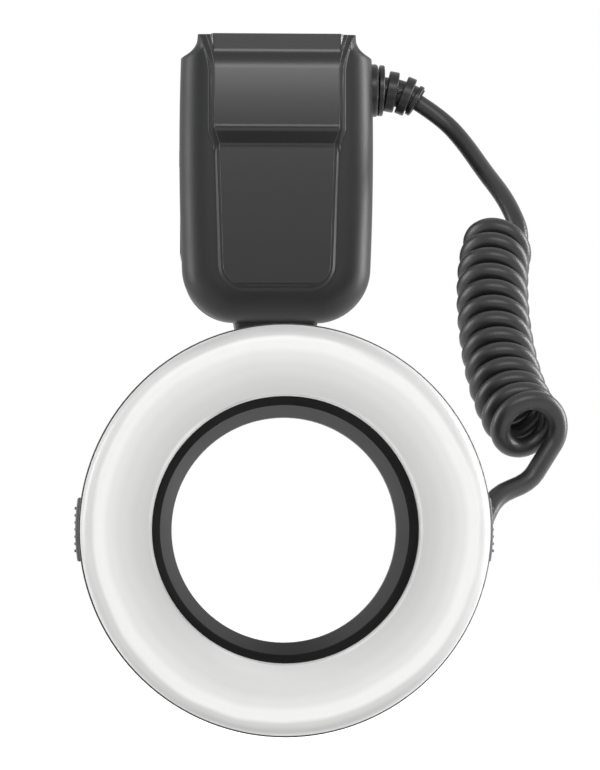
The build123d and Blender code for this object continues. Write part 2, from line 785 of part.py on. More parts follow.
screw_head_back = case_back - case_screw_sink
screw_head_front = screw_head_back - screw_head_height
battery_back = battery_front + battery_thickness
battery_outer_end = -(case_half_width - battery_inset)
battery_low, battery_top = height(battery_bottom), height(battery_bottom) + battery_height
boot_seat = case_half_width - boot_seat_inset
boot_z = height(boot_height)
shoe_screw_places = [(sx * shoe_screw_x, sy * shoe_screw_y) for sx in (-1, 1) for sy in (-1, 1)]


def battery_opening():
    """Tool for the opening in the left wall that the battery slides through."""
    low = (-case_half_width - overrun, battery_front - running_gap, battery_low - running_gap)
    inner = -(case_half_width - case_side_wall) + overrun
    return block(low, (inner, battery_back + running_gap, battery_top + running_gap))


def boot_seat_tool():
    """Tool for the seat of the cord's strain relief in the right wall."""
    flange = Pos(boot_seat, boot_y, boot_z) * Rot(0, 90, 0) * Cylinder(
        boot_flange_radius + seam, boot_seat_inset + overrun, align=(Align.CENTER, Align.CENTER, Align.MIN))
    depth = boot_spigot + seam
    spigot = Pos(boot_seat, boot_y, boot_z) * Rot(0, 90, 0) * Cylinder(
        boot_spigot_radius + seam, depth, align=(Align.CENTER, Align.CENTER, Align.MAX))
    return flange + spigot


def shoe_screw_holes():
    depth = case_wall * 2 + overrun
    hole = Cylinder(screw_shank_radius, depth)
    return Part() + [Pos(x, y, case_bottom) * hole for x, y in shoe_screw_places]


def controller_front_shell(skin, solid):
    """Front half of the controller's casing."""
    reach = brow_front + overrun
    room = block((-case_half_width - overrun, -reach, case_bottom - overrun),
                 (case_half_width + overrun, case_parting, case_top + overrun))
    shell = skin & room
    for x, z in case_screw_places():
        post = along_y(screw_boss_radius, -case_rail_front + overrun, case_parting, x, z) & solid
        shell += post
    for x, z in case_screw_places():
        tip = screw_head_front - case_screw_length - seat_gap
        shell -= along_y(screw_shank_radius, tip, case_parting + overrun, x, z)
    return shell - battery_opening() - boot_seat_tool() - shoe_screw_holes()


def rounded_bar(width, tall, radius, front, back, x, z):
    """A bar along Y with a rounded rectangular section."""
    section = extrude(Plane.XZ * RectangleRounded(width, tall, radius), back - front)
    return Pos(x, back, z) * section


# Rear of the controller: depths from the board to the outside

wall_inside = case_back - case_wall
board_back = wall_inside - display_thickness - seat_gap * 2
board_front = board_back - board_thickness
key_flange_back = wall_inside - running_gap
key_front = key_flange_back - key_flange_thickness
switch_back = board_back + switch_height
soft_key_places = [((i - 1.5) * soft_key_pitch, height(soft_key_centre)) for i in range(4)]
round_button_places = [(side * round_button_x, height(z)) for z in (upper_button_centre, lower_button_centre)
                       for side in (-1, 1)]
flap_floor = case_half_width - flap_recess
flap_hinge_x = flap_floor + seat_gap + flap_thickness / 2
flap_hinge_y = flap_front + flap_length
flap_low, flap_top = height(flap_bottom), height(flap_bottom) + flap_height
port_z = (flap_low + flap_top) / 2
usb_z, jack_z = port_z + port_spacing, port_z - port_spacing


def usb_section(extra):
    """Rounded slot of the socket, along X."""
    slot = SlotOverall(usb_width + extra * 2, usb_thickness + extra * 2, rotation=90)
    return Pos(0, port_y, usb_z) * extrude(Plane.YZ * slot, usb_length)


def controller_rear_shell(skin, solid):
    """Rear half of the casing, with the openings for screen, keys, dial, switch and ports."""
    room = block((-case_half_width - overrun, case_parting + seam, case_bottom - overrun),
                 (case_half_width + overrun, case_back + overrun, case_top + overrun))
    shell = skin & room
    dial_z = height(dial_centre)
    pad_front = case_back - dial_recess - dial_pad_thickness
    for x, z in case_screw_places():
        shell += along_y(case_boss_radius, case_parting + seam, wall_inside + overrun, x, z) & solid
    shell += along_y(dial_radius + dial_pad_margin, pad_front, wall_inside + overrun, 0, dial_z)
    flap_pad_low = (flap_floor - flap_floor_wall, flap_front - running_gap - overrun, flap_low - overrun * 2)
    flap_pad_high = (flap_floor + overrun, flap_hinge_y + flap_swing_room + overrun, flap_top + overrun * 2)
    shell += block(flap_pad_low, flap_pad_high) & solid
    for x, z in case_screw_places():
        shell -= along_y(screw_shank_radius, case_parting, screw_head_front + overrun, x, z)
        shell -= along_y(screw_head_radius + seam, screw_head_front, case_back + overrun, x, z)
    window_z = height(window_centre)
    shell -= rounded_bar(window_width + seam * 2, window_height + seam * 2, window_round + seam,
                         case_back - window_thickness - seam, case_back + overrun, 0, window_z)
    shell -= rounded_bar(window_width - display_margin * 2, window_height - display_margin * 2, window_round,
                         wall_inside - overrun, case_back, 0, window_z)
    for x, z in soft_key_places:
        shell -= rounded_bar(soft_key_width + running_gap * 2, soft_key_height + running_gap * 2,
                             key_round + running_gap, wall_inside - overrun, case_back + overrun, x, z)
    for x, z in round_button_places:
        shell -= along_y(round_button_radius + running_gap, wall_inside - overrun, case_back + overrun, x, z)
    shell -= along_y(dial_radius + running_gap, case_back - dial_recess, case_back + overrun, 0, dial_z)
    shell -= along_y(dial_hub_radius + running_gap, pad_front - overrun, case_back, 0, dial_z)
    slot_width = power_knob_width + power_travel + running_gap * 2
    shell -= rounded_bar(slot_width, power_knob_height + running_gap * 2, key_round,
                         wall_inside - overrun, case_back + overrun, 0, height(power_centre))
    shell -= block((flap_floor, flap_front - running_gap, flap_low - running_gap),
                   (case_half_width + overrun, flap_hinge_y + flap_swing_room, flap_top + running_gap))
    shell -= Pos(flap_floor - flap_floor_wall - overrun, 0, 0) * usb_section(seam)
    jack_hole = Rot(0, 90, 0) * Cylinder(jack_radius + seam, flap_floor_wall * 3)
    shell -= Pos(flap_floor, port_y, jack_z) * jack_hole
    return shell - battery_opening() - boot_seat_tool() - shoe_screw_holes()


def front_panel():
    """Satin panel that runs from the cove at the top, over the brow and step, to the chin."""
    panel = panel_blank(panel_border, panel_proud, panel_thickness)
    return panel & block((-case_half_width, -brow_front - overrun, case_bottom),
                         (case_half_width, 0, case_top - seam))


def display_window():
    return rounded_bar(window_width, window_height, window_round, case_back - window_thickness, case_back, 0,
                       height(window_centre))


def display_module():
    """Screen with its frame, between the board and the rear wall."""
    return rounded_bar(window_width, window_height, window_round, board_back + seat_gap,
                       wall_inside - seat_gap, 0, height(window_centre))


def soft_key(place):
    """Rubber-tipped key with a flange that keeps it in its hole."""
    x, z = place
    cap = rounded_bar(soft_key_width, soft_key_height, key_round, key_front, case_back + key_proud, x, z)
    rim = cap.faces().sort_by(Axis.Y)[-1].edges()
    cap = fillet(rim, key_round / 2)
    return cap + rounded_bar(soft_key_width + key_flange * 2, soft_key_height + key_flange * 2, key_round,
                             key_front, key_flange_back, x, z)


def round_button(place):
    x, z = place
    cap = along_y(round_button_radius, key_front, case_back + key_proud, x, z)
    cap = fillet(cap.faces().sort_by(Axis.Y)[-1].edges(), key_round / 2)
    return cap + along_y(round_button_radius + key_flange, key_front, key_flange_back, x, z)


def key_switches():
    """Small tactile switches on the board, one behind each key."""
    places = soft_key_places + round_button_places + [(0, height(dial_centre))]
    half = switch_side / 2
    return Part() + [block((x - half, board_back, z - half), (x + half, switch_back, z + half))
                     for x, z in places]


def control_dial():
    """Thumb wheel with a scalloped rim, open in the middle for the set button."""
    z = height(dial_centre)
    front, back = case_back - dial_recess + running_gap, case_back + dial_proud
    wheel = along_y(dial_radius, front, back, 0, z)
    wheel = fillet(wheel.faces().sort_by(Axis.Y)[-1].edges(), key_round)
    tools = []
    for i in range(dial_scallops):
        a = 2 * pi * i / dial_scallops
        reach = dial_radius + dial_scallop_radius / 2
        across, up = reach * cos(a), z + reach * sin(a)
        tools.append(along_y(dial_scallop_radius, case_back, back + overrun, across, up))
    wheel -= tools
    wheel += along_y(dial_hub_radius, board_back + encoder_height + running_gap, front, 0, z)
    return wheel - along_y(set_button_radius + running_gap, board_back, back + overrun, 0, z)


def set_button():
    z = height(dial_centre)
    front = switch_back + key_travel + running_gap
    cap = along_y(set_button_radius, front, case_back + set_button_proud, 0, z)
    return fillet(cap.faces().sort_by(Axis.Y)[-1].edges(), key_round / 2)


def dial_encoder():
    """Ring on the board that reads the dial."""
    z = height(dial_centre)
    ring = along_y(encoder_radius, board_back, board_back + encoder_height, 0, z)
    return ring - along_y(set_button_radius + running_gap, board_front, case_back, 0, z)


def power_switch():
    """Sliding knob, drawn at its left stop."""
    x, z = -power_travel / 2, height(power_centre)
    back = case_back + power_proud
    knob = rounded_bar(power_knob_width, power_knob_height, key_round, key_front, back, x, z)
    groove = block((x - key_round / 3, back - key_round / 2, z - power_knob_height),
                   (x + key_round / 3, back + overrun, z + power_knob_height))
    flange = rounded_bar(power_knob_width + power_flange * 2, power_knob_height + power_flange * 2, key_round,
                         key_front, key_flange_back, x, z)
    return knob - groove + flange


def main_board():
    """Circuit board behind the rear wall, narrower at its foot to pass the screw bosses."""
    half, foot_half = main_board_width / 2, main_board_foot_width / 2
    top, shoulder, foot = height(main_board_top), height(main_board_shoulder), height(main_board_foot)
    outline = Polyline((half, top), (half, shoulder), (foot_half, shoulder), (foot_half, foot),
                       (-foot_half, foot), (-foot_half, shoulder), (-half, shoulder), (-half, top),
                       close=True)
    return Pos(0, board_back, 0) * extrude(Plane.XZ * make_face(outline), board_thickness)


def charging_transformer():
    """Ferrite transformer on the front of the board, above the battery bay."""
    wide, deep, tall = transformer_size
    low = (transformer_x - wide / 2, board_front - deep, battery_top + battery_gap + bay_wall + seat_gap)
    core = block(low, (low[0] + wide, board_front, low[2] + tall))
    return chamfer(core.edges().filter_by(Axis.Y), seat_gap * 2)


def main_capacitor():
    """Flash capacitor, a wrapped can that lies on the battery bay."""
    z = battery_top + battery_gap + bay_wall + seat_gap + capacitor_radius
    can = Pos(0, capacitor_y, z) * Rot(0, 90, 0) * Cylinder(capacitor_radius, capacitor_length)
    return fillet(can.edges().filter_by(GeomType.CIRCLE), capacitor_radius / 12)


# Battery

bay_inner_end = battery_inner_end + battery_gap + contact_thickness + seat_gap


def battery_bay():
    """Box that guides the battery, open to the left."""
    outer_end = -(case_half_width - case_side_wall) + seat_gap
    gap, wall = battery_gap, battery_gap + bay_wall
    outside = block((outer_end, battery_front - wall, battery_low - wall),
                    (bay_inner_end + bay_wall, battery_back + wall, battery_top + wall))
    inside = block((outer_end - overrun, battery_front - gap, battery_low - gap),
                   (bay_inner_end, battery_back + gap, battery_top + gap))
    return outside - inside


def battery_pack():
    """Rechargeable pack with a recess for its release button in the outer end."""
    pack = block((battery_outer_end, battery_front, battery_low),
                 (battery_inner_end, battery_back, battery_top))
    pack = fillet(pack.edges().filter_by(Axis.X), battery_round)
    x, y, z = release_place()
    depth = release_thickness - release_proud + release_travel + running_gap
    grow = running_gap
    return pack - block((x - overrun, y - release_width / 2 - grow, z - release_height / 2 - grow),
                        (x + depth, y + release_width / 2 + grow, z + release_height / 2 + grow))


def release_place():
    """Middle of the release button, on the battery's outer end."""
    middle = (battery_front + battery_back) / 2
    return battery_outer_end, middle, battery_top - release_drop - release_height / 2


def battery_release():
    x, y, z = release_place()
    low = (x - release_proud, y - release_width / 2, z - release_height / 2)
    key = block(low, (low[0] + release_thickness, low[1] + release_width, low[2] + release_height))
    return fillet(key.faces().sort_by(Axis.X)[0].edges(), release_proud)


def battery_contacts():
    """Three contact strips on the end wall of the bay."""
    middle = (battery_front + battery_back) / 2
    low_z = (battery_low + battery_top - contact_height) / 2
    strips = []
    for i in (-1, 0, 1):
        y = middle + i * contact_pitch - contact_width / 2
        strips.append(block((bay_inner_end - contact_thickness, y, low_z),
                            (bay_inner_end, y + contact_width, low_z + contact_height)))
    return Part() + strips


# Ports and their flap

def port_flap():
    """Soft cover over the ports, with its hinge barrel along its rear edge."""
    inside = flap_floor + seat_gap
    plate = block((inside, flap_front, flap_low), (inside + flap_thickness, flap_hinge_y, flap_top))
    plate = fillet(plate.edges().filter_by(Axis.X).sort_by(Axis.Y)[:2], flap_thickness)
    barrel = Pos(flap_hinge_x, flap_hinge_y, port_z) * Cylinder(flap_barrel_radius, flap_height)
    return plate + barrel


def usb_socket():
    shell = Pos(flap_floor - usb_length, 0, 0) * usb_section(0)
    return shell - Pos(flap_floor - usb_length + usb_wall * 2, 0, 0) * usb_section(-usb_wall)


def sync_socket():
    middle = flap_floor - jack_length / 2
    jack = Pos(middle, port_y, jack_z) * Rot(0, 90, 0) * Cylinder(jack_radius, jack_length)
    bore = Rot(0, 90, 0) * Cylinder(jack_bore_radius, jack_length)
    return jack - Pos(middle + usb_wall * 2, port_y, jack_z) * bore


# Hot-shoe foot, base and lock

neck_top = foot_plate + foot_neck_height
lever_bottom = neck_top + running_gap
lever_top = lever_bottom + lever_thickness
base_bottom = lever_top + running_gap


def shoe_base():
    """Tapered block under the casing that carries the foot."""
    middle = (base_back - base_front) / 2
    plate = Plane.XY.offset(case_bottom) * Pos(0, middle) * RectangleRounded(
        base_half_width * 2, base_front + base_back, base_round)
    base = extrude(plate, base_bottom - case_bottom, taper=base_slant)
    for x, y in shoe_screw_places:
        base -= Pos(x, y, base_bottom) * Cylinder(screw_head_radius + seam, screw_head_height * 2)
        base -= Pos(x, y, case_bottom) * Cylinder(screw_shank_radius, (case_bottom - base_bottom) * 2)
    return base


def shoe_screws():
    """Four screws that hold the base to the casing."""
    screws = []
    for x, y in shoe_screw_places:
        seat = base_bottom + screw_head_height
        head = Pos(x, y, base_bottom + screw_head_height / 2) * Cylinder(screw_head_radius, screw_head_height)
        length = case_bottom + case_wall - seat
        screws.append(head + Pos(x, y, seat + length / 2) * Cylinder(screw_shank_radius, length))
    return Part() + screws


def shoe_foot():
    """Standard hot-shoe foot: plate, neck and the stem that the lock lever turns on."""
    plate = Pos(0, 0, foot_plate / 2) * Box(foot_width, foot_length, foot_plate)
    plate = fillet(plate.edges().filter_by(Axis.Z), foot_round)
    neck = block((-foot_neck_width / 2, -foot_length / 2, 0),
                 (foot_neck_width / 2, foot_length / 2, neck_top))
    stem = Pos(0, 0, (neck_top + base_bottom) / 2) * Cylinder(stem_radius, base_bottom - neck_top)
    foot = plate + neck + stem
    foot -= Pos(0, -pin_forward, neck_top / 2) * Cylinder(pin_radius + running_gap, neck_top + overrun)
    for x, y in pad_places:
        foot -= Pos(x, y, 0) * Cylinder(pad_radius(x), pad_thickness * 2)
    return foot


def pad_radius(x):
    """The middle contact is the large one."""
    return contact_pad_radius if x == 0 else small_pad_radius


def foot_contacts():
    """Contacts in the underside of the foot."""
    return Part() + [Pos(x, y, pad_thickness / 2) * Cylinder(pad_radius(x), pad_thickness)
                     for x, y in pad_places]


def lock_lever():
    """Ring round the stem with a handle to one side."""
    middle = (lever_bottom + lever_top) / 2
    ring = Pos(0, 0, middle) * Cylinder(lever_radius, lever_thickness)
    arm = block((lever_radius / 2, -lever_width / 2, lever_bottom), (lever_reach, lever_width / 2, lever_top))
    arm = fillet(arm.edges().filter_by(Axis.Z).sort_by(Axis.X)[-2:], lever_width / 3)
    lever = ring + Rot(0, 0, lever_rest_angle) * arm
    lever = chamfer(lever.faces().sort_by(Axis.Z)[0].edges(), lever_round)
    return lever - Pos(0, 0, middle) * Cylinder(stem_radius + running_gap, lever_thickness + overrun)


def lock_pin():
    """Pin that drops into the camera's shoe when the lever is locked."""
    pin = Pos(0, -pin_forward, (pin_top - pin_drop) / 2) * Cylinder(pin_radius, pin_top + pin_drop)
    return fillet(pin.faces().sort_by(Axis.Z)[0].edges(), pin_radius / 2)


def case_screws():
    """Four screws from the rear that close the casing."""
    screws = []
    for x, z in case_screw_places():
        head = along_y(screw_head_radius, screw_head_front, screw_head_back, x, z)
        tip = screw_head_front - case_screw_length
        screws.append(head + along_y(screw_shank_radius, tip, screw_head_front, x, z))
    return Part() + screws


# Strain reliefs

boot_bend_radius = boot_length / radians(boot_sweep)
boot_start = Vector(boot_seat + boot_flange, boot_y, boot_z)


def boot_point(along):
    """A point on the axis of the controller's strain relief, and its direction there."""
    angle = along / boot_bend_radius
    place = boot_start + Vector(boot_bend_radius * sin(angle), 0, -boot_bend_radius * (1 - cos(angle)))
    return place, Vector(cos(angle), 0, -sin(angle))


def controller_cable_boot():
    """Flanged rubber strain relief with separate ribs on a bent core."""
    flange = Pos(boot_seat, boot_y, boot_z) * Rot(0, 90, 0) * Cylinder(
        boot_flange_radius, boot_flange - seat_gap, align=(Align.CENTER, Align.CENTER, Align.MIN))
    flange = fillet(flange.edges().sort_by(Axis.X)[-1], boot_flange / 4)
    spigot = Pos(boot_seat, boot_y, boot_z) * Rot(0, 90, 0) * Cylinder(
        boot_spigot_radius, boot_spigot, align=(Align.CENTER, Align.CENTER, Align.MAX))
    core_start = Vector(boot_seat, boot_y, boot_z)
    tip, tip_way = boot_point(boot_length)
    bend = ThreePointArc(boot_start, boot_point(boot_length / 2)[0], tip)
    section = Plane(core_start, z_dir=(1, 0, 0)) * Circle(boot_core_radius)
    core = sweep(section, path=[Line(core_start, boot_start), bend])
    boot = flange + spigot + core
    ribs = ((0, boot_collar, boot_collar_radius),) + boot_ribs
    for start, length, radius in ribs:
        place, way = boot_point(start + length / 2)
        rib = Cylinder(radius, length)
        rib = fillet(rib.edges().filter_by(GeomType.CIRCLE), boot_collar / 4)
        boot += Plane(place, z_dir=way) * rib
    return boot


ring_boot_y = ring_depth + hump_height / 2 - ring_reach
ring_boot_way = Vector(cos(radians(hump_angle)), 0, sin(radians(hump_angle)))
ring_boot_base = Vector(hump_mouth_x, ring_boot_y, hump_mouth_z - ring_drop)
ring_boot_tip = ring_boot_base + ring_boot_way * ring_boot_length


def ring_cable_boot():
    """Straight tapered strain relief on the ring's hump, with ribs."""
    rib_count = len(boot_ribs) + 1
    pitch = ring_boot_length / rib_count
    boot = Cone(ring_boot_radius - boot_collar / 2, ring_boot_tip_radius - boot_collar / 2, ring_boot_length)
    boot = Pos(0, 0, ring_boot_length / 2) * boot
    for i in range(rib_count):
        along = (i + 0.5) / rib_count
        radius = ring_boot_radius + (ring_boot_tip_radius - ring_boot_radius) * along
        rib = Cylinder(radius, pitch / 2)
        boot += Pos(0, 0, (i + 0.5) * pitch) * fillet(rib.edges().filter_by(GeomType.CIRCLE), boot_collar / 4)
    return Plane(ring_boot_base, z_dir=ring_boot_way) * boot


# Curly cord

def tube(path):
    """Round cord along a path that starts square to its first edge."""
    start, way = path[0] @ 0, path[0] % 0
    solid = sweep(Plane(start, z_dir=way) * Circle(cord_diameter / 2), path=Wire(path))
    length = sum(e.length for e in path)
    share = solid.volume / (pi * cord_diameter ** 2 / 4 * length)
    print(f"  length {length:.1f} mm, volume {share:.4f} of section times length")
    return solid


def lead_path(points):
    """Straight runs joined by arcs as large as the runs allow."""
    points = [Vector(p) for p in points]
    runs = [b - a for a, b in zip(points, points[1:])]
    radii = []
    for first, second in zip(runs, runs[1:]):
        turn = radians(first.get_angle(second))
        radii.append(run_share * min(first.length, second.length) / tan(turn / 2))
    print("  runs", [round(r.length, 1) for r in runs], "radii", [round(r, 1) for r in radii])
    line = FilletPolyline(points, radius=radii)
    return line.edges().sort_by(line)


def bezier_point(u):
    a, b, c, d = [Vector(p) for p in coil_axis_points]
    v = 1 - u
    return a * v ** 3 + b * (3 * v * v * u) + c * (3 * v * u * u) + d * u ** 3


def coil_axis():
    """The bent axis of the curls as points at even distances, with its length."""
    fine = [bezier_point(i / axis_steps) for i in range(axis_steps + 1)]
    lengths = [0.0]
    for a, b in zip(fine, fine[1:]):
        lengths.append(lengths[-1] + (b - a).length)
    return fine, lengths


axis_line, axis_lengths = coil_axis()
total_phase = 360 * coil_turns + coil_end_phase - coil_start_phase


def on_axis(share):
    """Point and direction of the axis at a share of its length."""
    along = min(max(share, 0), 1) * axis_lengths[-1]
    i = next(k for k in range(1, len(axis_lengths)) if axis_lengths[k] >= along or k == axis_steps)
    step = axis_line[i] - axis_line[i - 1]
    part = (along - axis_lengths[i - 1]) / step.length
    return axis_line[i - 1] + step * part, i - 1 + part


def curl_point(share):
    """A point of the curls: left-handed round the bent axis."""
    centre, place = on_axis(share)
    u = place / axis_steps
    near = 1 / axis_steps
    way = (bezier_point(min(u + near, 1)) - bezier_point(max(u - near, 0))).normalized()
    front = way.cross(Vector(1, 0, 0)).normalized()
    side = front.cross(way).normalized()
    phase = radians(coil_start_phase + total_phase * share)
    return centre + front * (coil_radius * cos(phase)) + side * (coil_radius * sin(phase))


def curl_direction(share):
    step = 1 / axis_steps / coil_turns
    return (curl_point(min(share + step, 1)) - curl_point(max(share - step, 0))).normalized()


def biarc(start, start_way, end, end_way):
    """Two tangent arcs from one point and direction to another."""
    chord = end - start
    both = start_way + end_way
    a, b, c = both.dot(both) - 4, -2 * chord.dot(both), chord.dot(chord)
    reach = (-b - sqrt(b * b - 4 * a * c)) / (2 * a)
    first, last = start + start_way * reach, end - end_way * reach
    middle = (first + last) / 2
    middle_way = (last - first).normalized()
    return [TangentArc(start, middle, tangent=start_way), TangentArc(middle, end, tangent=middle_way)]


def curl_path():
    """Straight start, a bend into the first curl, the curls, and a straight end."""
    joint = Vector(upper_joint)
    way = (joint - Vector(upper_route[-1])).normalized()
    straight_end = joint + way * cord_diameter
    halves = round(total_phase / 180)
    shares = [i / halves for i in range(halves + 1)]
    knots = [(curl_point(s), curl_direction(s)) for s in shares]
    path = [Line(joint, straight_end)]
    path += biarc(straight_end, way, *knots[0])
    for (p, t), (q, u) in zip(knots, knots[1:]):
        path += biarc(p, t, q, u)
    end, end_way = knots[-1]
    path.append(Line(end, end + end_way * cord_diameter))
    return path


def least_gap(path):
    """Least gap between stretches of the cord that lie apart along it."""
    points = []
    for edge in path:
        steps = max(2, round(edge.length / (2 * pi * coil_radius / gap_steps_per_turn)))
        points += [edge @ (i / steps) for i in range(steps)]
    apart = gap_steps_per_turn // 3
    least = min((points[i] - points[j]).length
                for i in range(len(points)) for j in range(i + apart, len(points)))
    return least - cord_diameter


curls = curl_path()
upper_exit, upper_exit_way = boot_point(boot_length)
lower_joint = curls[-1] @ 1
lower_joint_way = curls[-1] % 1
upper_points = [upper_exit, upper_exit + upper_exit_way * exit_run, *upper_route, upper_joint]
lower_points = [lower_joint, lower_joint + lower_joint_way * lower_run, *lower_route,
                ring_boot_tip + ring_boot_way * entry_run, ring_boot_tip]


def main():
    os.makedirs("parts", exist_ok=True)
    skin, solid = case_skin(), case_block()
    print("upper lead")
    lead_top = tube(lead_path(upper_points))
    print("lower lead")
    lead_bottom = tube(lead_path(lower_points))
    print("curls")
    print(f"  least gap of the curls {least_gap(curls):.2f} mm, axis {axis_lengths[-1]:.1f} mm")
    curly = tube(curls)
    pieces = {
        "diffuser": diffuser(),
        "ring_rear_shell": ring_rear_shell(),
        "inner_collar": inner_collar(),
        "reflector_tray": reflector_tray(),
        "flash_tube_left": flash_tube(-1),
        "flash_tube_right": flash_tube(1),
        "tube_holders": tube_holders(),
        "modelling_leds": modelling_leds(),
        "ring_board": ring_board(),
        "latch_slider_left": latch_slider(-1),
        "latch_slider_right": latch_slider(1),
        "latch_spring_left": latch_spring(-1),
        "latch_spring_right": latch_spring(1),
        "latch_plate": latch_plate(),
        "ring_screws": ring_screws(),
        "ring_cable_boot": ring_cable_boot(),
        "adapter_ring": adapter_ring(),
        "controller_front_shell": controller_front_shell(skin, solid),
        "controller_rear_shell": controller_rear_shell(skin, solid),
        "front_panel": front_panel(),
        "display_window": display_window(),
        "display_module": display_module(),
        "menu_button": round_button(round_button_places[0]),
        "lamp_button": round_button(round_button_places[1]),
        "mode_button": round_button(round_button_places[2]),
        "test_button": round_button(round_button_places[3]),
        "control_dial": control_dial(),
        "set_button": set_button(),
        "dial_encoder": dial_encoder(),
        "power_switch": power_switch(),
        "main_board": main_board(),
        "charging_transformer": charging_transformer(),
        "main_capacitor": main_capacitor(),
        "key_switches": key_switches(),
        "battery_bay": battery_bay(),
        "battery_pack": battery_pack(),
        "battery_release": battery_release(),
        "battery_contacts": battery_contacts(),
        "port_flap": port_flap(),
        "usb_socket": usb_socket(),
        "sync_socket": sync_socket(),
        "shoe_base": shoe_base(),
        "shoe_foot": shoe_foot(),
        "foot_contacts": foot_contacts(),
        "lock_lever": lock_lever(),
        "lock_pin": lock_pin(),
        "shoe_screws": shoe_screws(),
        "case_screws": case_screws(),
        "controller_cable_boot": controller_cable_boot(),
        "cord_lead_top": lead_top,
        "cord_curls": curly,
        "cord_lead_bottom": lead_bottom,
    }
    for number, place in enumerate(soft_key_places, start=1):
        pieces[f"soft_key_{number}"] = soft_key(place)
    for name, shape in pieces.items():
        export_step(shape, f"parts/{name}.step")


main()
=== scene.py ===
# %% [markdown]
# A macro ring flash in Blender. The lamp is a white ring, the controller is a black box with a
# sliding foot, and a curly cord joins them. The measured solids are loaded first and never move.
# Everything after that dresses them: the cord, two smooth skins, small mouldings and finishes.
# Blender works in metres, so a size that is written in millimetres is multiplied by MM.

# %% Load the measured part
import bpy
from math import cos, degrees, exp, pi, radians, sin, sqrt
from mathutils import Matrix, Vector


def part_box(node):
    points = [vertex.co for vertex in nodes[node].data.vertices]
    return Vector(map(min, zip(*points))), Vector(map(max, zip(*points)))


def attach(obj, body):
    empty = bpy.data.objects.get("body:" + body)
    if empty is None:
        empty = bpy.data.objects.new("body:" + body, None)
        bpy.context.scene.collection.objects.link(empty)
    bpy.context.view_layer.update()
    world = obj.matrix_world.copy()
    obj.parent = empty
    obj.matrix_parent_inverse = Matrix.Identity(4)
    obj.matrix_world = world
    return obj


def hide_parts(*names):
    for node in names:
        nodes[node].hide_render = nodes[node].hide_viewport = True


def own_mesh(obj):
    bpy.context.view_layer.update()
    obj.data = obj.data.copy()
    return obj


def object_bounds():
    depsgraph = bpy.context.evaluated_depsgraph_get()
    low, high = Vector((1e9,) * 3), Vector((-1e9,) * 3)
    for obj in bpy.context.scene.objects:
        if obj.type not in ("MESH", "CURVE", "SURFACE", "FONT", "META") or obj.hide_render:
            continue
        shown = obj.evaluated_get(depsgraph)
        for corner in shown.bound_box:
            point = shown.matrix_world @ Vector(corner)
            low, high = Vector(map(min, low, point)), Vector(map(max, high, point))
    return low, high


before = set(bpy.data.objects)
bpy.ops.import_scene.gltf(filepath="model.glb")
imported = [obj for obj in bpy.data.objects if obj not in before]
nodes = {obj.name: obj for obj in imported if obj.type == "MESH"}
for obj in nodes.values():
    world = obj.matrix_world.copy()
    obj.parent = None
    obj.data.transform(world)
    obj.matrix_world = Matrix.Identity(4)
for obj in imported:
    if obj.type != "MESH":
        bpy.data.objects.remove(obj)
cad_low, cad_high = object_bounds()
print("solids", len(nodes), "box", [round(v, 4) for v in cad_high - cad_low])

# %% [markdown]
# The view is from about 0.7 m in front of the lamp, a little to the left of its axis and level with
# it. A short focal length close by would show the ring's bore askew, so a long one is used. The
# camera is aimed by turning it at one point, which is easier to adjust than three angles.

# %% Camera
MM = 0.001
RING_AXIS = Vector((0, 0, -57.0)) * MM
RING_FRONT = -158.0 * MM
CAMERA_DISTANCE = 0.700
CAMERA_SIDE = -0.0165
CAMERA_RISE = -0.005
AIM_SIDE = 0.0038
AIM_RISE = 0.0398
FOCAL_LENGTH = 118.6
SENSOR_WIDTH = 36.0
camera_data = bpy.data.cameras.new("photo_camera")
camera_data.lens = FOCAL_LENGTH
camera_data.sensor_width = SENSOR_WIDTH
camera_data.sensor_fit = "AUTO"
camera = bpy.data.objects.new("photo_camera", camera_data)
bpy.context.scene.collection.objects.link(camera)
camera.location = (CAMERA_SIDE, RING_FRONT - CAMERA_DISTANCE, RING_AXIS.z + CAMERA_RISE)
aim = Vector((AIM_SIDE, RING_FRONT, RING_AXIS.z + AIM_RISE))
camera.rotation_euler = (aim - camera.location).to_track_quat("-Z", "Y").to_euler()
bpy.context.scene.camera = camera
bpy.context.scene.view_settings.view_transform = "Standard"
print("camera looks", [round(degrees(a), 2) for a in camera.rotation_euler])

# %% [markdown]
# The cord is one length of round rubber lead. It leaves the controller's strain relief, falls in a
# loose curve, winds into a tight left-handed coil, and runs into the strain relief on the lamp. A
# helix tool could wind the coil alone, but its ends would have to be patched to the leads. Here one
# spline follows the whole cord: a few listed points for the leads, and a loop for the turns.

# %% The cord's sizes and the points of its leads
CORD_DIAMETER = 5.8 * MM
COIL_RADIUS = 8.3 * MM
COIL_TURNS = 13
COIL_START = 180.0
COIL_END = 140.0
POINTS_PER_TURN = 16
UPPER_ROUTE = [(48.18, -6.0, 88.72), (56.57, -6.0, 83.27), (63.3, -10.6, 74.7), (69.4, -21.8, 62.5),
               (74.3, -32.6, 53.2), (77.2, -39.9, 44.9)]
UPPER_TURN = [(78.7, -42.4, 39.3), (77.4, -44.2, 33.4)]
LOWER_ROUTE = [(61.6, -121.8, -46.8), (57.25, -126.5, -55.5), (53.5, -126.5, -62.0)]
COIL_AXIS = [(70.7, -51.0, 35.3), (63.4, -70.8, 19.8), (65.2, -98.4, -20.3), (73.1, -120.0, -27.8)]
AXIS_STEPS = 400
CUT_INSIDE = 1.5
LEAVE_COIL = (0.8, 2.0)


def axis_point(u):
    """A place on the coil's bent axis, from 0 at its top to 1 at its foot."""
    a, b, c, d = [Vector(p) * MM for p in COIL_AXIS]
    v = 1 - u
    return a * v ** 3 + b * (3 * v * v * u) + c * (3 * v * u * u) + d * u ** 3


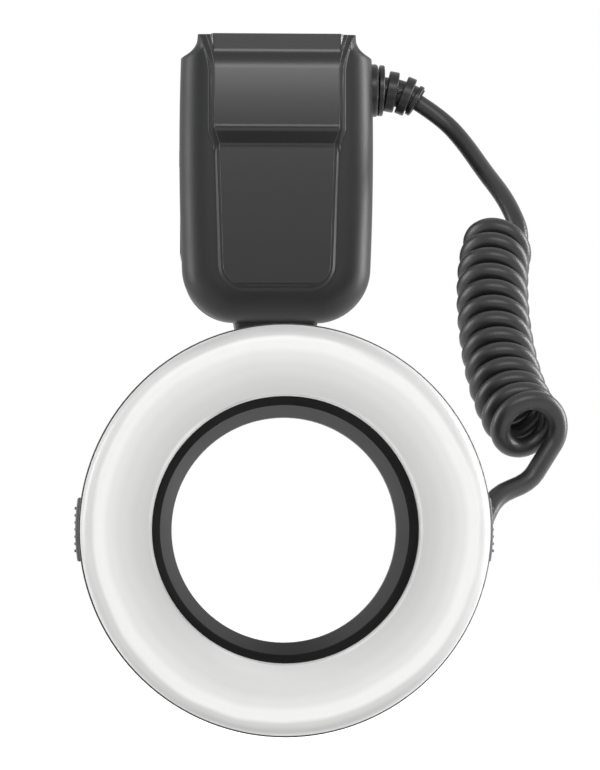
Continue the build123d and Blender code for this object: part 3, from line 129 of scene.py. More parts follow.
def coil_points():
    """The coil's turns at even distances along its bent axis.

    The spline cuts a little inside its points, so they lie a little outside the turns.
    """
    grow = COIL_RADIUS / cos(pi / POINTS_PER_TURN) ** CUT_INSIDE
    line = [axis_point(i / AXIS_STEPS) for i in range(AXIS_STEPS + 1)]
    lengths = [0.0]
    for a, b in zip(line, line[1:]):
        lengths.append(lengths[-1] + (b - a).length)
    sweep = 360 * COIL_TURNS + COIL_END - COIL_START
    count = round(POINTS_PER_TURN * sweep / 360)
    points = []
    at = 1
    for n in range(count + 1):
        along = lengths[-1] * n / count
        while at < AXIS_STEPS and lengths[at] < along:
            at += 1
        u = (at - 1 + (along - lengths[at - 1]) / (lengths[at] - lengths[at - 1])) / AXIS_STEPS
        ahead, behind = min(u + 1 / AXIS_STEPS, 1), max(u - 1 / AXIS_STEPS, 0)
        way = (axis_point(ahead) - axis_point(behind)).normalized()
        front = way.cross(Vector((1, 0, 0))).normalized()
        side = front.cross(way)
        phase = radians(COIL_START + sweep * n / count)
        points.append(axis_point(u) + front * (grow * cos(phase)) + side * (grow * sin(phase)))
    return points


# %% The cord as one spline
def cord_spline(name, points, diameter):
    """A round cord on one smooth spline, with its thickness on the points."""
    curve = bpy.data.curves.new(name, "CURVE")
    curve.dimensions = "3D"
    spline = curve.splines.new("NURBS")
    spline.points.add(len(points) - 1)
    for point, place in zip(spline.points, points):
        point.co = (*place, 1)
        point.radius = diameter / 2
    spline.order_u = 3
    spline.use_endpoint_u = True
    spline.resolution_u = 4
    # The radius on the points is the cord's own, so that the curve's box is no thicker than it.
    curve.bevel_depth = 1.0
    curve.bevel_resolution = 6
    curve.use_fill_caps = True
    cord = bpy.data.objects.new(name, curve)
    bpy.context.scene.collection.objects.link(cord)
    return cord


coil = coil_points()
coil_way = (coil[-1] - coil[-2]).normalized()
leave = [coil[-1] + coil_way * (CORD_DIAMETER * k) for k in LEAVE_COIL]
route = [Vector(p) * MM for p in UPPER_ROUTE + UPPER_TURN] + coil + leave
route += [Vector(p) * MM for p in LOWER_ROUTE]
cord = cord_spline("curly_cord", route, CORD_DIAMETER)


def line_length(obj):
    """Length of a spline's own line."""
    copy = obj.data.copy()
    copy.bevel_depth = 0
    ghost = bpy.data.objects.new("ghost", copy)
    mesh = bpy.data.meshes.new_from_object(ghost)
    places = [vertex.co.copy() for vertex in mesh.vertices]
    total = sum((places[e.vertices[0]] - places[e.vertices[1]]).length for e in mesh.edges)
    bpy.data.meshes.remove(mesh)
    bpy.data.objects.remove(ghost)
    bpy.data.curves.remove(copy)
    return total


cord_length = line_length(cord)
print("cord", round(cord_length, 4), "m in", len(route), "points")
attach(cord, "root")
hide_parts("cord_lead_top", "cord_curls", "cord_lead_bottom")

# %% [markdown]
# The casing's front is one moulding: two rounded rails, a raised brow, a slanted step and a flatter
# chin. Box modelling could give the steps but not the slow crown that catches the light, so a fine
# grid is added and every point of it is pushed out by the same rules that a toolmaker would draw:
# a big round along the outline, drafted walls, and small rounds where two faces meet. The border is
# then extruded back to the parting line, and the left wall is left open where the battery goes in.

# %% Sizes of the casing's front, in millimetres
CASE_BOTTOM, CASE_TOP = 12.6, 108.0
REAR_BOTTOM = 15.7
CASE_PARTING, WALL_SPLIT = -4.0, -13.7
RAIL_FRONT, RAIL_ROUND = -25.6, 10.6
SIDE_CENTRE, SIDE_RADIUS = (-903.7, 72.99), 936.155
FOOT_ROUND = 17.5
COVE_CENTRE, COVE_RADIUS, COVE_ROUND = (33.09, 108.17), 6.79, 5.5
BROW_FRONT, BROW_HALF, BROW_DRAFT, BROW_CROWN = -28.8, 21.7, 0.3, 0.9
CHIN_FRONT, CHIN_HALF, CHIN_FOOT_HALF, CHIN_DRAFT, CHIN_CROWN = -26.9, 20.0, 18.5, 0.577, 0.4
CHIN_FOOT, CHIN_CORNER = 22.9, 8.0
STEP_TOP, STEP_FOOT, LIP, COVE_BEND, CREST = 75.8, 71.0, 98.0, 101.0, -24.6
BATTERY_LOW, BATTERY_TOP = 35.8, 78.2
FLARE, FLARE_FROM, FLARE_CURVE = 3.0, 95.0, 1.6


def side_x(z):
    """Half width of the bulged side."""
    return SIDE_CENTRE[0] + sqrt(SIDE_RADIUS ** 2 - (z - SIDE_CENTRE[1]) ** 2)


def outline_x(z, bottom=CASE_BOTTOM):
    """Half width of the outline, with round corners at the foot and hollow ones at the top."""
    x = side_x(z)
    if z < bottom + FOOT_ROUND:
        x -= FOOT_ROUND - sqrt(max(0.0, FOOT_ROUND ** 2 - (bottom + FOOT_ROUND - z) ** 2))
    if z > COVE_CENTRE[1] - COVE_RADIUS:
        x = min(x, COVE_CENTRE[0] - sqrt(COVE_RADIUS ** 2 - (z - COVE_CENTRE[1]) ** 2))
    return x


def higher(a, b, k):
    """The larger of two heights, with a round of size k between them."""
    h = max(k - abs(a - b), 0.0) / k
    return max(a, b) + h * h * k / 4


def lower(a, b, k):
    """The smaller of two heights, rounded in the same way."""
    return -higher(-a, -b, k)


def round_off(distance, radius):
    """How far a round edge has dropped at a distance inside the outline."""
    if distance >= radius:
        return 0.0
    return radius - sqrt(max(0.0, radius ** 2 - (radius - distance) ** 2))


# %% The front's depth at any place: slopes, and how soft the bends between the faces are
LIP_DROP, STEP_SLOPE, TOP_SLOPE, TOP_REACH = 1.3, 0.44, 0.5, 4
BROW_OVERRUN, CHIN_OVERRUN = 1.2, 1.1
COVE_SOFT, LIP_SOFT, STEP_SOFT, TOP_SOFT = 0.8, 0.7, 0.45, 1.5
BROW_SOFT, CHIN_SOFT, SEAM_SOFT, RAIL_SOFT = 0.5, 0.4, 0.3, 0.9


def flare(z):
    """How far the brow's sides spread towards the top corners."""
    return FLARE * max(0.0, (z - FLARE_FROM) / (CASE_TOP - FLARE_FROM)) ** FLARE_CURVE


def brow_half(z):
    """Half width of the brow, which narrows over the step."""
    part = min(max((z - STEP_FOOT) / (STEP_TOP - STEP_FOOT), 0.0), 1.0)
    return CHIN_HALF + (BROW_HALF - CHIN_HALF) * part + flare(z)


def chin_half(z):
    """Half width of the chin, a little narrower at its foot."""
    return CHIN_FOOT_HALF + (CHIN_HALF - CHIN_FOOT_HALF) * (z - CHIN_FOOT) / (STEP_FOOT - CHIN_FOOT)


def outside_chin(x, z, inset=0.0):
    """Distance outside the chin's outline, which has two round corners at its foot."""
    corner = CHIN_CORNER - inset
    across = x - (chin_half(z) - inset - corner)
    down = (CHIN_FOOT + inset + corner) - z
    return sqrt(max(across, 0.0) ** 2 + max(down, 0.0) ** 2) + min(max(across, down), 0.0) - corner


def brow_line(z):
    """The brow seen from the side: crowned front, lip, hollow and crest."""
    up = min(max((z - STEP_TOP) / (LIP - STEP_TOP), 0.0), BROW_OVERRUN)
    front = BROW_FRONT + BROW_CROWN * up * up
    lip = BROW_FRONT + BROW_CROWN
    bend = lip + LIP_DROP
    rise = lip + (z - LIP) * (bend - lip) / (COVE_BEND - LIP)
    far = bend + (z - COVE_BEND) * (CREST - bend) / (CASE_TOP - COVE_BEND)
    step = BROW_FRONT + (STEP_TOP - z) * STEP_SLOPE
    return higher(higher(front, lower(rise, far, COVE_SOFT), LIP_SOFT), step, STEP_SOFT)


def chin_line(z):
    """The chin seen from the side, with its slow crown."""
    up = min(max((z - CHIN_FOOT) / (STEP_FOOT - CHIN_FOOT), 0.0), CHIN_OVERRUN)
    return CHIN_FRONT + CHIN_CROWN * up * up


def front_depth(x, z):
    """Depth of the front at a place: rails, brow and chin, all rounded into each other."""
    x = abs(x)
    foot = CASE_BOTTOM + FOOT_ROUND
    edge = side_x(z) - x
    if z < foot and x > side_x(z) - FOOT_ROUND:
        edge = FOOT_ROUND - sqrt((x - side_x(z) + FOOT_ROUND) ** 2 + (foot - z) ** 2)
    elif z < foot:
        edge = min(edge, z - CASE_BOTTOM)
    hollow = sqrt((x - COVE_CENTRE[0]) ** 2 + (z - COVE_CENTRE[1]) ** 2) - COVE_RADIUS
    drop = round_off(max(edge, 0.0), RAIL_ROUND) ** 3 + round_off(max(hollow, 0.0), COVE_ROUND) ** 3
    rail = RAIL_FRONT + drop ** (1 / 3)
    top = CREST - (CASE_TOP - z) * TOP_SLOPE
    rail = higher(rail, top, TOP_SOFT) if z > COVE_BEND - TOP_REACH else rail
    brow_wall = BROW_FRONT + (x - brow_half(z)) / BROW_DRAFT
    brow = higher(brow_line(z), brow_wall, BROW_SOFT)
    chin_wall = CHIN_FRONT + CHIN_CROWN + outside_chin(x, z) / CHIN_DRAFT
    chin = higher(chin_line(z), chin_wall, CHIN_SOFT)
    return lower(rail, lower(brow, chin, SEAM_SOFT), RAIL_SOFT)


# %% A grid that is pushed into shape
def rows(low, high, pitch, fine, fine_pitch, marks=()):
    """Heights of a grid's rows: even ones, closer ones in some stretches, and exact marks."""
    steps = round((high - low) / pitch)
    heights = {round(low + (high - low) * i / steps, 4) for i in range(steps + 1)}
    for start, end in fine:
        count = int((end - start) / fine_pitch)
        heights |= {round(start + fine_pitch * i, 4) for i in range(count + 1)}
    heights = sorted(h for h in heights if all(abs(h - m) > pitch / 3 for m in marks))
    return sorted(heights + list(marks))


def pushed_grid(name, heights, columns, place, depth):
    """Add a grid and push its points where two rules put them, across and in depth."""
    bpy.ops.object.select_all(action="DESELECT")
    bpy.ops.mesh.primitive_grid_add(x_subdivisions=2 * columns, y_subdivisions=len(heights) - 1,
                                    size=2)
    sheet = bpy.context.active_object
    sheet.name = name
    for v in sheet.data.vertices:
        column = round(v.co.x * columns)
        z = heights[round((v.co.y + 1) / 2 * (len(heights) - 1))]
        x = place(abs(column), z) * (1 if column > 0 else -1)
        v.co = (x * MM, depth(x, z) * MM, z * MM)
    return sheet


# %% Where the columns of the casing's grid lie
MIDDLE_COLUMNS, WALL_COLUMNS, EDGE_COLUMNS = 16, 42, 18
WALL_FROM, WALL_TO, MOST_OF_ROW = 16.5, 25.2, 0.87


def case_column(column, z):
    """Where a column of the casing's grid lies: closest at the brow's walls and at the edge."""
    full = outline_x(z)
    inner = min(WALL_TO, MOST_OF_ROW * full)
    if column <= MIDDLE_COLUMNS:
        return inner * (WALL_FROM / WALL_TO) * column / MIDDLE_COLUMNS
    if column <= MIDDLE_COLUMNS + WALL_COLUMNS:
        part = (column - MIDDLE_COLUMNS) / WALL_COLUMNS
        return inner * (WALL_FROM + (WALL_TO - WALL_FROM) * part) / WALL_TO
    part = (column - MIDDLE_COLUMNS - WALL_COLUMNS) / EDGE_COLUMNS
    return inner + (full - inner) * sin(part * pi / 2)


# %% Helpers that pick by a test and finish a skin
def pick(obj, faces=None, edges=None):
    """Leave edit mode with nothing picked, pick by a test, and go back in."""
    if bpy.context.mode != "OBJECT":
        bpy.ops.object.mode_set(mode="OBJECT")
    for group in (obj.data.polygons, obj.data.edges, obj.data.vertices):
        group.foreach_set("select", [False] * len(group))
    if faces:
        for face in obj.data.polygons:
            face.select = faces(face)
    if edges:
        for edge in obj.data.edges:
            edge.select = edges(edge)
    bpy.ops.object.mode_set(mode="EDIT")


def finish_piece(obj, wall, angle):
    """Faces outwards, a wall of a given thickness inside, smooth shading below an angle."""
    pick(obj)
    bpy.ops.mesh.select_all(action="SELECT")
    bpy.ops.mesh.normals_make_consistent(inside=False)
    bpy.ops.object.mode_set(mode="OBJECT")
    solid = obj.modifiers.new("wall", "SOLIDIFY")
    solid.thickness = wall * MM
    solid.offset = -1
    bpy.ops.object.modifier_apply(modifier=solid.name)
    bpy.ops.object.shade_smooth_by_angle(angle=radians(angle))


# %% Push the casing's front and draw its walls back
def meet_rear(v):
    """The front's foot hangs lower than the rear's, so its last edge rises to meet the rear."""
    foot = REAR_BOTTOM + FOOT_ROUND
    x, z = v.co.x / MM, v.co.z / MM
    if z < foot:
        z_rear = foot - (foot - z) * (foot - REAR_BOTTOM) / (foot - CASE_BOTTOM)
        narrower = outline_x(z_rear, REAR_BOTTOM) / max(outline_x(z), 1.0)
        v.co = (x * narrower * MM, v.co.y, z_rear * MM)


CASE_PITCH, CASE_FINE_PITCH = 0.62, 0.3
CASE_FINE = ((69.0, 78.0), (96.0, 103.0), (12.8, 17.0))
CASE_WALL, CASE_CREASE, BATTERY_SIDE = 2.0, 40, -20.0
case_rows = rows(CASE_BOTTOM, CASE_TOP, CASE_PITCH, CASE_FINE, CASE_FINE_PITCH,
                 (BATTERY_LOW, BATTERY_TOP))
half_columns = MIDDLE_COLUMNS + WALL_COLUMNS + EDGE_COLUMNS
casing = pushed_grid("front_casing", case_rows, half_columns, case_column, front_depth)
columns, lines = 2 * half_columns + 1, len(case_rows)
border = {i for i in range(len(casing.data.vertices))
          if i % columns in (0, columns - 1) or i // columns in (0, lines - 1)}
pick(casing, edges=lambda e: e.vertices[0] in border and e.vertices[1] in border and
     (abs(e.vertices[0] - e.vertices[1]) in (1, columns)))
for depth in (WALL_SPLIT, CASE_PARTING):
    bpy.ops.mesh.extrude_edges_move()
    bpy.ops.object.mode_set(mode="OBJECT")
    for v in casing.data.vertices:
        if v.select:
            v.co.y = depth * MM
            if depth == CASE_PARTING:
                meet_rear(v)
    bpy.ops.object.mode_set(mode="EDIT")
pick(casing, faces=lambda f: f.center.x < BATTERY_SIDE * MM and f.center.y > WALL_SPLIT * MM and
     BATTERY_LOW * MM < f.center.z < BATTERY_TOP * MM)
bpy.ops.mesh.delete(type="FACE")
finish_piece(casing, CASE_WALL, CASE_CREASE)
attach(casing, "root")
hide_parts("controller_front_shell")
print("front casing", len(casing.data.polygons), "faces")

# %% [markdown]
# The panel is a thin smooth skin set into the brow and the chin, with a fine seam all round. It is
# pushed from its own grid, a little proud of the casing, and its border rolls down into the seam.
# Two small beads run across it, above and below the step, and they draw the bright lines there.

# %% Front panel
PANEL_BORDER, PANEL_PROUD, PANEL_ROLL, ROLL_DEPTH = 0.8, 0.16, 0.45, 0.5
BEAD_HEIGHT, BEAD_WIDTH, BEADS = 0.13, 0.36, (76.5, 70.6)
PANEL_TOP_GAP, PANEL_PITCH, PANEL_FINE_PITCH = 0.1, 0.7, 0.16
PANEL_FINE = ((69.2, 78.2), (95.0, 103.0))
PANEL_THICKNESS, PANEL_CREASE, PANEL_COLUMNS = 0.3, 50, 48


def panel_half(z):
    """Half width of the panel, with its round corners at the foot."""
    if z > STEP_FOOT:
        return brow_half(z) - PANEL_BORDER
    corner = CHIN_CORNER - PANEL_BORDER
    down = max(0.0, CHIN_FOOT + PANEL_BORDER + corner - z)
    return chin_half(z) - PANEL_BORDER - corner + sqrt(max(0.0, corner ** 2 - down ** 2))


def panel_column(column, z):
    """Columns of the panel's grid, closer together towards its border."""
    return panel_half(z) * sin(column / PANEL_COLUMNS * pi / 2)


def panel_depth(x, z):
    """The casing's depth, a little proud, with the two beads and the rolled border."""
    ridge = sum(BEAD_HEIGHT * exp(-((z - at) / BEAD_WIDTH) ** 2) for at in BEADS)
    inside = min(panel_half(z) - abs(x), z - CHIN_FOOT - PANEL_BORDER)
    if z < CHIN_FOOT + CHIN_CORNER:
        inside = min(inside, -outside_chin(abs(x), z, PANEL_BORDER))
    roll = max(0.0, 1 - inside / PANEL_ROLL) ** 2 * ROLL_DEPTH
    return front_depth(x, z) - PANEL_PROUD - ridge + roll


panel_rows = rows(CHIN_FOOT + PANEL_BORDER, CASE_TOP - PANEL_TOP_GAP, PANEL_PITCH, PANEL_FINE,
                  PANEL_FINE_PITCH)
panel = pushed_grid("smooth_panel", panel_rows, PANEL_COLUMNS, panel_column, panel_depth)
finish_piece(panel, PANEL_THICKNESS, PANEL_CREASE)
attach(panel, "root")
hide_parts("front_panel")
print("panel", len(panel.data.polygons), "faces")

# %% [markdown]
# Small mouldings: webs, marks, ribs and bars. They could be cut into the solids, but a raised
# detail of its own can ride on the key or button that carries it, and have another finish. Each
# starts as a cube or a three-sided cylinder, is shaped and bevelled in edit mode, and is joined
# with its neighbours.

# %% Helpers for small blocks
SMALL_CREASE = 40


def block(name, place, size, turn, round_edge):
    """A bevelled block, in millimetres, turned about a front-to-back axis through its middle."""
    bpy.ops.object.select_all(action="DESELECT")
    middle = Vector(place) * MM
    bpy.ops.mesh.primitive_cube_add(size=1, location=middle)
    piece = bpy.context.active_object
    piece.name = name
    bpy.ops.object.mode_set(mode="EDIT")
    bpy.ops.mesh.select_all(action="SELECT")
    bpy.ops.transform.resize(value=[v * MM for v in size], center_override=middle)
    if turn:
        bpy.ops.transform.rotate(value=radians(turn), orient_axis="Y", center_override=middle)
    bpy.ops.mesh.bevel(offset=round_edge * MM, segments=2, affect="EDGES")
    bpy.ops.object.mode_set(mode="OBJECT")
    return piece


def arrow(name, place, radius, height, turn, round_edge):
    """A flat three-cornered arrow that lies in the plane of the controller's back."""
    bpy.ops.object.select_all(action="DESELECT")
    bpy.ops.mesh.primitive_cylinder_add(vertices=3, radius=radius * MM, depth=height * MM,
                                        location=Vector(place) * MM,
                                        rotation=(pi / 2, radians(turn), 0))
    piece = bpy.context.active_object
    piece.name = name
    bpy.ops.object.transform_apply(location=False, rotation=True, scale=False)
    bpy.ops.object.mode_set(mode="EDIT")
    bpy.ops.mesh.select_all(action="SELECT")
    bpy.ops.mesh.bevel(offset=round_edge * MM, segments=2, affect="EDGES")
    bpy.ops.object.mode_set(mode="OBJECT")
    return piece


def joined(name, parts, body):
    """Join parts, bring the object to the origin and set it riding."""
    bpy.ops.object.select_all(action="DESELECT")
    for part in parts:
        part.select_set(True)
    bpy.context.view_layer.objects.active = parts[0]
    if len(parts) > 1:
        bpy.ops.object.join()
    whole = bpy.context.active_object
    whole.name = name
    bpy.ops.object.transform_apply(location=True, rotation=True, scale=True)
    bpy.ops.object.shade_smooth_by_angle(angle=radians(SMALL_CREASE))
    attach(whole, body)
    return whole


# %% [markdown]
# The strain relief lets the cord bend gently where it leaves the controller. Its collars are one
# soft moulding with deep gaps, tied together by short webs on two opposite sides. A web could be
# bridged from collar to collar, but a thin block that is turned with the bend looks the same.

# %% Webs between the collars of the controller's strain relief
BOOT_START, BOOT_HEIGHT, BOOT_DEPTH, BOOT_BEND = 34.83, 92.7, -6.0, 24.5
WEB_GAPS = ((2.3, 1.5, 5.9), (7.1, 2.4, 5.8), (11.7, 1.6, 4.8))
WEB_THICKNESS, WEB_EDGE, CORE_RADIUS = 1.5, 0.3, 2.6
webs = []
for along, long, reach in WEB_GAPS:
    bend = along / BOOT_BEND
    x, z = BOOT_START + BOOT_BEND * sin(bend), BOOT_HEIGHT - BOOT_BEND * (1 - cos(bend))
    for side in (-1, 1):
        depth = BOOT_DEPTH + side * (CORE_RADIUS + reach) / 2
        size = (long, reach - CORE_RADIUS, WEB_THICKNESS)
        webs.append(block("web", (x, depth, z), size, degrees(bend), WEB_EDGE))
boot_webs = joined("strain_relief_webs", webs, "root")
print("webs", len(webs))

# %% [markdown]
# The keys carry raised marks that can be read without words: a line, two bars, a stair, a plus,
# three lines, a diamond, a lamp with its rays and a bolt. The dial has four arrows. They could be
# painted in the finish, but a raised mark also shows in the mesh. Each stands a little proud and is
# sunk a little into its key, so that no gap shows, and a table says where each bar lies.

# %% Marks on the keys and the dial
MARK_HEIGHT, MARK_SINK, MARK_EDGE = 0.24, 0.08, 0.05
DIAL_MARK_CIRCLE, ARROW_RADIUS, ARROW_EDGE = 10.6, 0.95, 0.06


def back_of(node):
    """Where a mark's middle goes on the back of a node, in millimetres."""
    low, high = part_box(node)
    middle = (low + high) / 2 / MM
    return middle.x, high.y / MM + MARK_HEIGHT / 2 - MARK_SINK, middle.z


def bars(key, pieces):
    """A mark made of bars: each has a place across and up, a width, a height and a turn."""
    x, y, z = back_of(key)
    parts = [block("bar", (x + across, y, z + up), (width, MARK_HEIGHT, tall), turn, MARK_EDGE)
             for across, up, width, tall, turn in pieces]
    return joined(key + "_mark", parts, key)


KEY_MARKS = {
    "soft_key_1": [(0, 0, 2.6, 0.4, 0)],
    "soft_key_2": [(-0.5, 0, 0.5, 1.4, 0), (0.5, 0, 0.5, 1.4, 0)],
    "soft_key_3": [(-0.9, 0, 0.5, 0.8, 0), (0, 0, 0.5, 1.2, 0), (0.9, 0, 0.5, 1.6, 0)],
    "soft_key_4": [(0, 0, 2.2, 0.4, 0), (0, 0, 0.4, 1.8, 0)],
    "menu_button": [(0, 1.0, 3.0, 0.4, 0), (0, 0, 3.0, 0.4, 0), (0, -1.0, 3.0, 0.4, 0)],
    "mode_button": [(0, 0, 2.2, 2.2, 45)],
    "lamp_button": [(0, 0, 1.2, 1.2, 0), (0, 1.7, 0.35, 1.0, 0), (0, -1.7, 0.35, 1.0, 0),
                    (1.7, 0, 1.0, 0.35, 0), (-1.7, 0, 1.0, 0.35, 0)],
    "test_button": [(0.25, 0.75, 0.4, 2.0, 25), (-0.25, -0.75, 0.4, 2.0, 25),
                    (0, 0, 1.3, 0.35, 0)],
    "set_button": [(0, 0, 1.6, 1.6, 45)],
}
marks = [bars(key, pieces) for key, pieces in KEY_MARKS.items()]
x, y, z = back_of("control_dial")
arrows = []
for turn in (0, 90, 180, 270):
    across, up = DIAL_MARK_CIRCLE * sin(radians(turn)), DIAL_MARK_CIRCLE * cos(radians(turn))
    place = (x + across, y, z + up)
    arrows.append(arrow("arrow", place, ARROW_RADIUS, MARK_HEIGHT, turn, ARROW_EDGE))
marks.append(joined("dial_arrows", arrows, "dial"))
print("marks", len(marks))

# %% [markdown]
# Each release button has a row of short ribs, so that a finger can feel it and press it. One rib is
# a small block with soft edges, and the row is a loop.

# %% Grip ribs on the two release buttons
BUTTON_FACE, BUTTON_DEPTH = 59.1, -137.3
RIBS, RIB_PITCH, RIB_SIZE, RIB_EDGE = 7, 2.0, (0.6, 3.6, 0.8), 0.2
grips = []
for side, word in ((-1, "left"), (1, "right")):
    ribs = []
    for i in range(RIBS):
        up = RING_AXIS.z / MM + RIB_PITCH * (i - RIBS // 2)
        ribs.append(block("rib", (side * BUTTON_FACE, BUTTON_DEPTH, up), RIB_SIZE, 0, RIB_EDGE))
    grips.append(joined("release_grip_" + word, ribs, "latch_" + word))
print("grips", len(grips))

# %% [markdown]
# The two return springs get shorter when their buttons go in. A shape key would need a second
# shape, and a measured solid never changes. So each spring is a merged copy of its solid that stays
# on the ring's shell.

# %% Return springs as merged copies of their solids
SAME_POINT = 0.002
springs = []
for side, word in ((-1, "left"), (1, "right")):
    node, press = "latch_spring_" + word, "latch_%s_press" % word
    low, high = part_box(node)
    spring = bpy.data.objects.new("return_spring_" + word, nodes[node].data.copy())
    bpy.context.scene.collection.objects.link(spring)
    bpy.ops.object.select_all(action="DESELECT")
    spring.select_set(True)
    bpy.context.view_layer.objects.active = spring
    bpy.ops.object.mode_set(mode="EDIT")
    bpy.ops.mesh.select_all(action="SELECT")
    bpy.ops.mesh.remove_doubles(threshold=SAME_POINT * MM)
    bpy.ops.object.mode_set(mode="OBJECT")
    bpy.ops.object.shade_smooth_by_angle(angle=radians(SMALL_CREASE))
    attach(spring, "root")
    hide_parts(node)
    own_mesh(spring)
    springs.append(spring)

# %% [markdown]
# The screen shows a bar at its top, a scale at its foot and a row of growing blocks between them,
# which stand for any setting. They could be drawn in the finish by a wave pattern, but thin blocks
# under the glass keep sharp edges at any size, and two loops lay them out.

# %% What the screen shows: plain bars and a scale
low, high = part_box("display_module")
SCREEN_LIFT, BAR_THICKNESS, BAR_EDGE = 0.03, 0.06, 0.01
TOP_BAR, FOOT_BAR = (0, 7.5, 30, 0.5), (0, -9.5, 30, 0.3)
SCALE_MARKS, SCALE_START, SCALE_FOOT, SCALE_PITCH = 13, -13.5, -9.3, 2.25
MARK_WIDTH, LONG_MARK, SHORT_MARK, LONG_EVERY = 0.4, 2.4, 1.3, 3
BLOCKS, BLOCK_START, BLOCK_PITCH, BLOCK_WIDTH, BLOCK_GROWS = 7, (9.0, -2.5), 3.0, 2.0, 1.1
screen_x, screen_z = (low.x + high.x) / 2 / MM, (low.z + high.z) / 2 / MM
screen_y = high.y / MM + SCREEN_LIFT


def screen_bar(across, up, width, tall):
    """One flat bar on the screen, placed from the screen's middle."""
    place = (screen_x + across, screen_y, screen_z + up)
    return block("bar", place, (width, BAR_THICKNESS, tall), 0, BAR_EDGE)


shown = [screen_bar(*TOP_BAR), screen_bar(*FOOT_BAR)]
for i in range(SCALE_MARKS):
    tall = SHORT_MARK if i % LONG_EVERY else LONG_MARK
    across, up = SCALE_START + SCALE_PITCH * i, SCALE_FOOT + tall / 2
    shown.append(screen_bar(across, up, MARK_WIDTH, tall))
for i in range(BLOCKS):
    across, up = BLOCK_START[0] - BLOCK_PITCH * i, BLOCK_START[1] + BLOCK_GROWS / 2 * i
    shown.append(screen_bar(across, up, BLOCK_WIDTH, 2 * BLOCK_GROWS + BLOCK_GROWS * i))
screen_marks = joined("screen_bars", shown, "root")
print("screen bars", len(shown))

# %% [markdown]
# Finishes. Nearly everything here is moulded plastic or rubber, and what tells them apart is the
# grain: the casing is finely sparked, the panel is smooth satin, the strain reliefs are soft and
# dull, and the diffuser is milky. A picture could be wrapped round each piece, but it would need a
# layout for every shape. A small tree of noise on Object coordinates fits them all.

# %% Helpers that start a finish and link its nodes
def finish_tree(name, colour, roughness, metallic=0.0, sheen=0.3):
    """A new finish: the material, its tree, its shader and the place on the object."""
    material = bpy.data.materials.new(name)
    material.use_nodes = True
    tree = material.node_tree
    shader = tree.nodes["Principled BSDF"]
    shader.inputs["Base Color"].default_value = (*colour, 1)
    shader.inputs["Roughness"].default_value = roughness
    shader.inputs["Metallic"].default_value = metallic
    shader.inputs["Specular IOR Level"].default_value = sheen
    place = tree.nodes.new("ShaderNodeTexCoord")
    return material, tree, shader, place.outputs["Object"]


def noise(tree, place, scale, detail=2.0, rough=0.5):
    """Soft random patches, so many to the metre."""
    node = tree.nodes.new("ShaderNodeTexNoise")
    node.inputs["Scale"].default_value = scale
    node.inputs["Detail"].default_value = detail
    node.inputs["Roughness"].default_value = rough
    tree.links.new(place, node.inputs["Vector"])
    return node.outputs["Fac"]


def spread(tree, value, low, high, start=0.25, end=0.75, smooth=True):
    """Stretch a value from one range to another, held at its ends."""
    node = tree.nodes.new("ShaderNodeMapRange")
    node.interpolation_type = "SMOOTHSTEP" if smooth else "LINEAR"
    node.inputs["From Min"].default_value = start
    node.inputs["From Max"].default_value = end
    node.inputs["To Min"].default_value = low
    node.inputs["To Max"].default_value = high
    tree.links.new(value, node.inputs["Value"])
    return node.outputs["Result"]


def mixed(tree, value, first, second):
    """A colour between two colours."""
    node = tree.nodes.new("ShaderNodeMix")
    node.data_type = "RGBA"
    node.inputs["A"].default_value = (*first, 1)
    node.inputs["B"].default_value = (*second, 1)
    tree.links.new(value, node.inputs["Factor"])
    return node.outputs["Result"]


def bump(tree, shader, value, strength, distance):
    """Let a value raise the surface's grain."""
    node = tree.nodes.new("ShaderNodeBump")
    node.inputs["Strength"].default_value = strength
    node.inputs["Distance"].default_value = distance
    tree.links.new(value, node.inputs["Height"])
    tree.links.new(node.outputs["Normal"], shader.inputs["Normal"])


# %% Moulded plastic
DRIFT_SCALE, FINE_DETAIL, FINE_ROUGH, WIDE_ROUGH = 45.0, 3.0, 0.6, 0.55


def worn_plastic(name, colour, roughness, grain, depth, strength, tone=0.25, metallic=0.0,
                 sheen=0.3, drift=0.05):
    """Moulded plastic: a fine grain, slightly uneven gloss, and a tone that drifts a little."""
    material, tree, shader, place = finish_tree(name, colour, roughness, metallic, sheen)
    fine = noise(tree, place, grain, FINE_DETAIL, FINE_ROUGH)
    wide = noise(tree, place, DRIFT_SCALE, FINE_DETAIL, WIDE_ROUGH)
    lighter = tuple(min(1.0, c * (1 + tone)) for c in colour)
    tones = mixed(tree, spread(tree, wide, 0, 1), colour, lighter)
    gloss = spread(tree, wide, roughness * (1 - drift), roughness * (1 + drift))
    tree.links.new(tones, shader.inputs["Base Color"])
    tree.links.new(gloss, shader.inputs["Roughness"])
    bump(tree, shader, fine, strength, depth)
    return material


# %% [markdown]
# The mouldings differ only in tone, gloss and grain. The casing's grain scatters light, so it looks
# greyer than the panel, whose dye is as dark but whose satin face mirrors the soft light above it.
# Rubber has almost no gleam. Each finish is one call, with the grains to the metre and the grain's
# depth in metres.

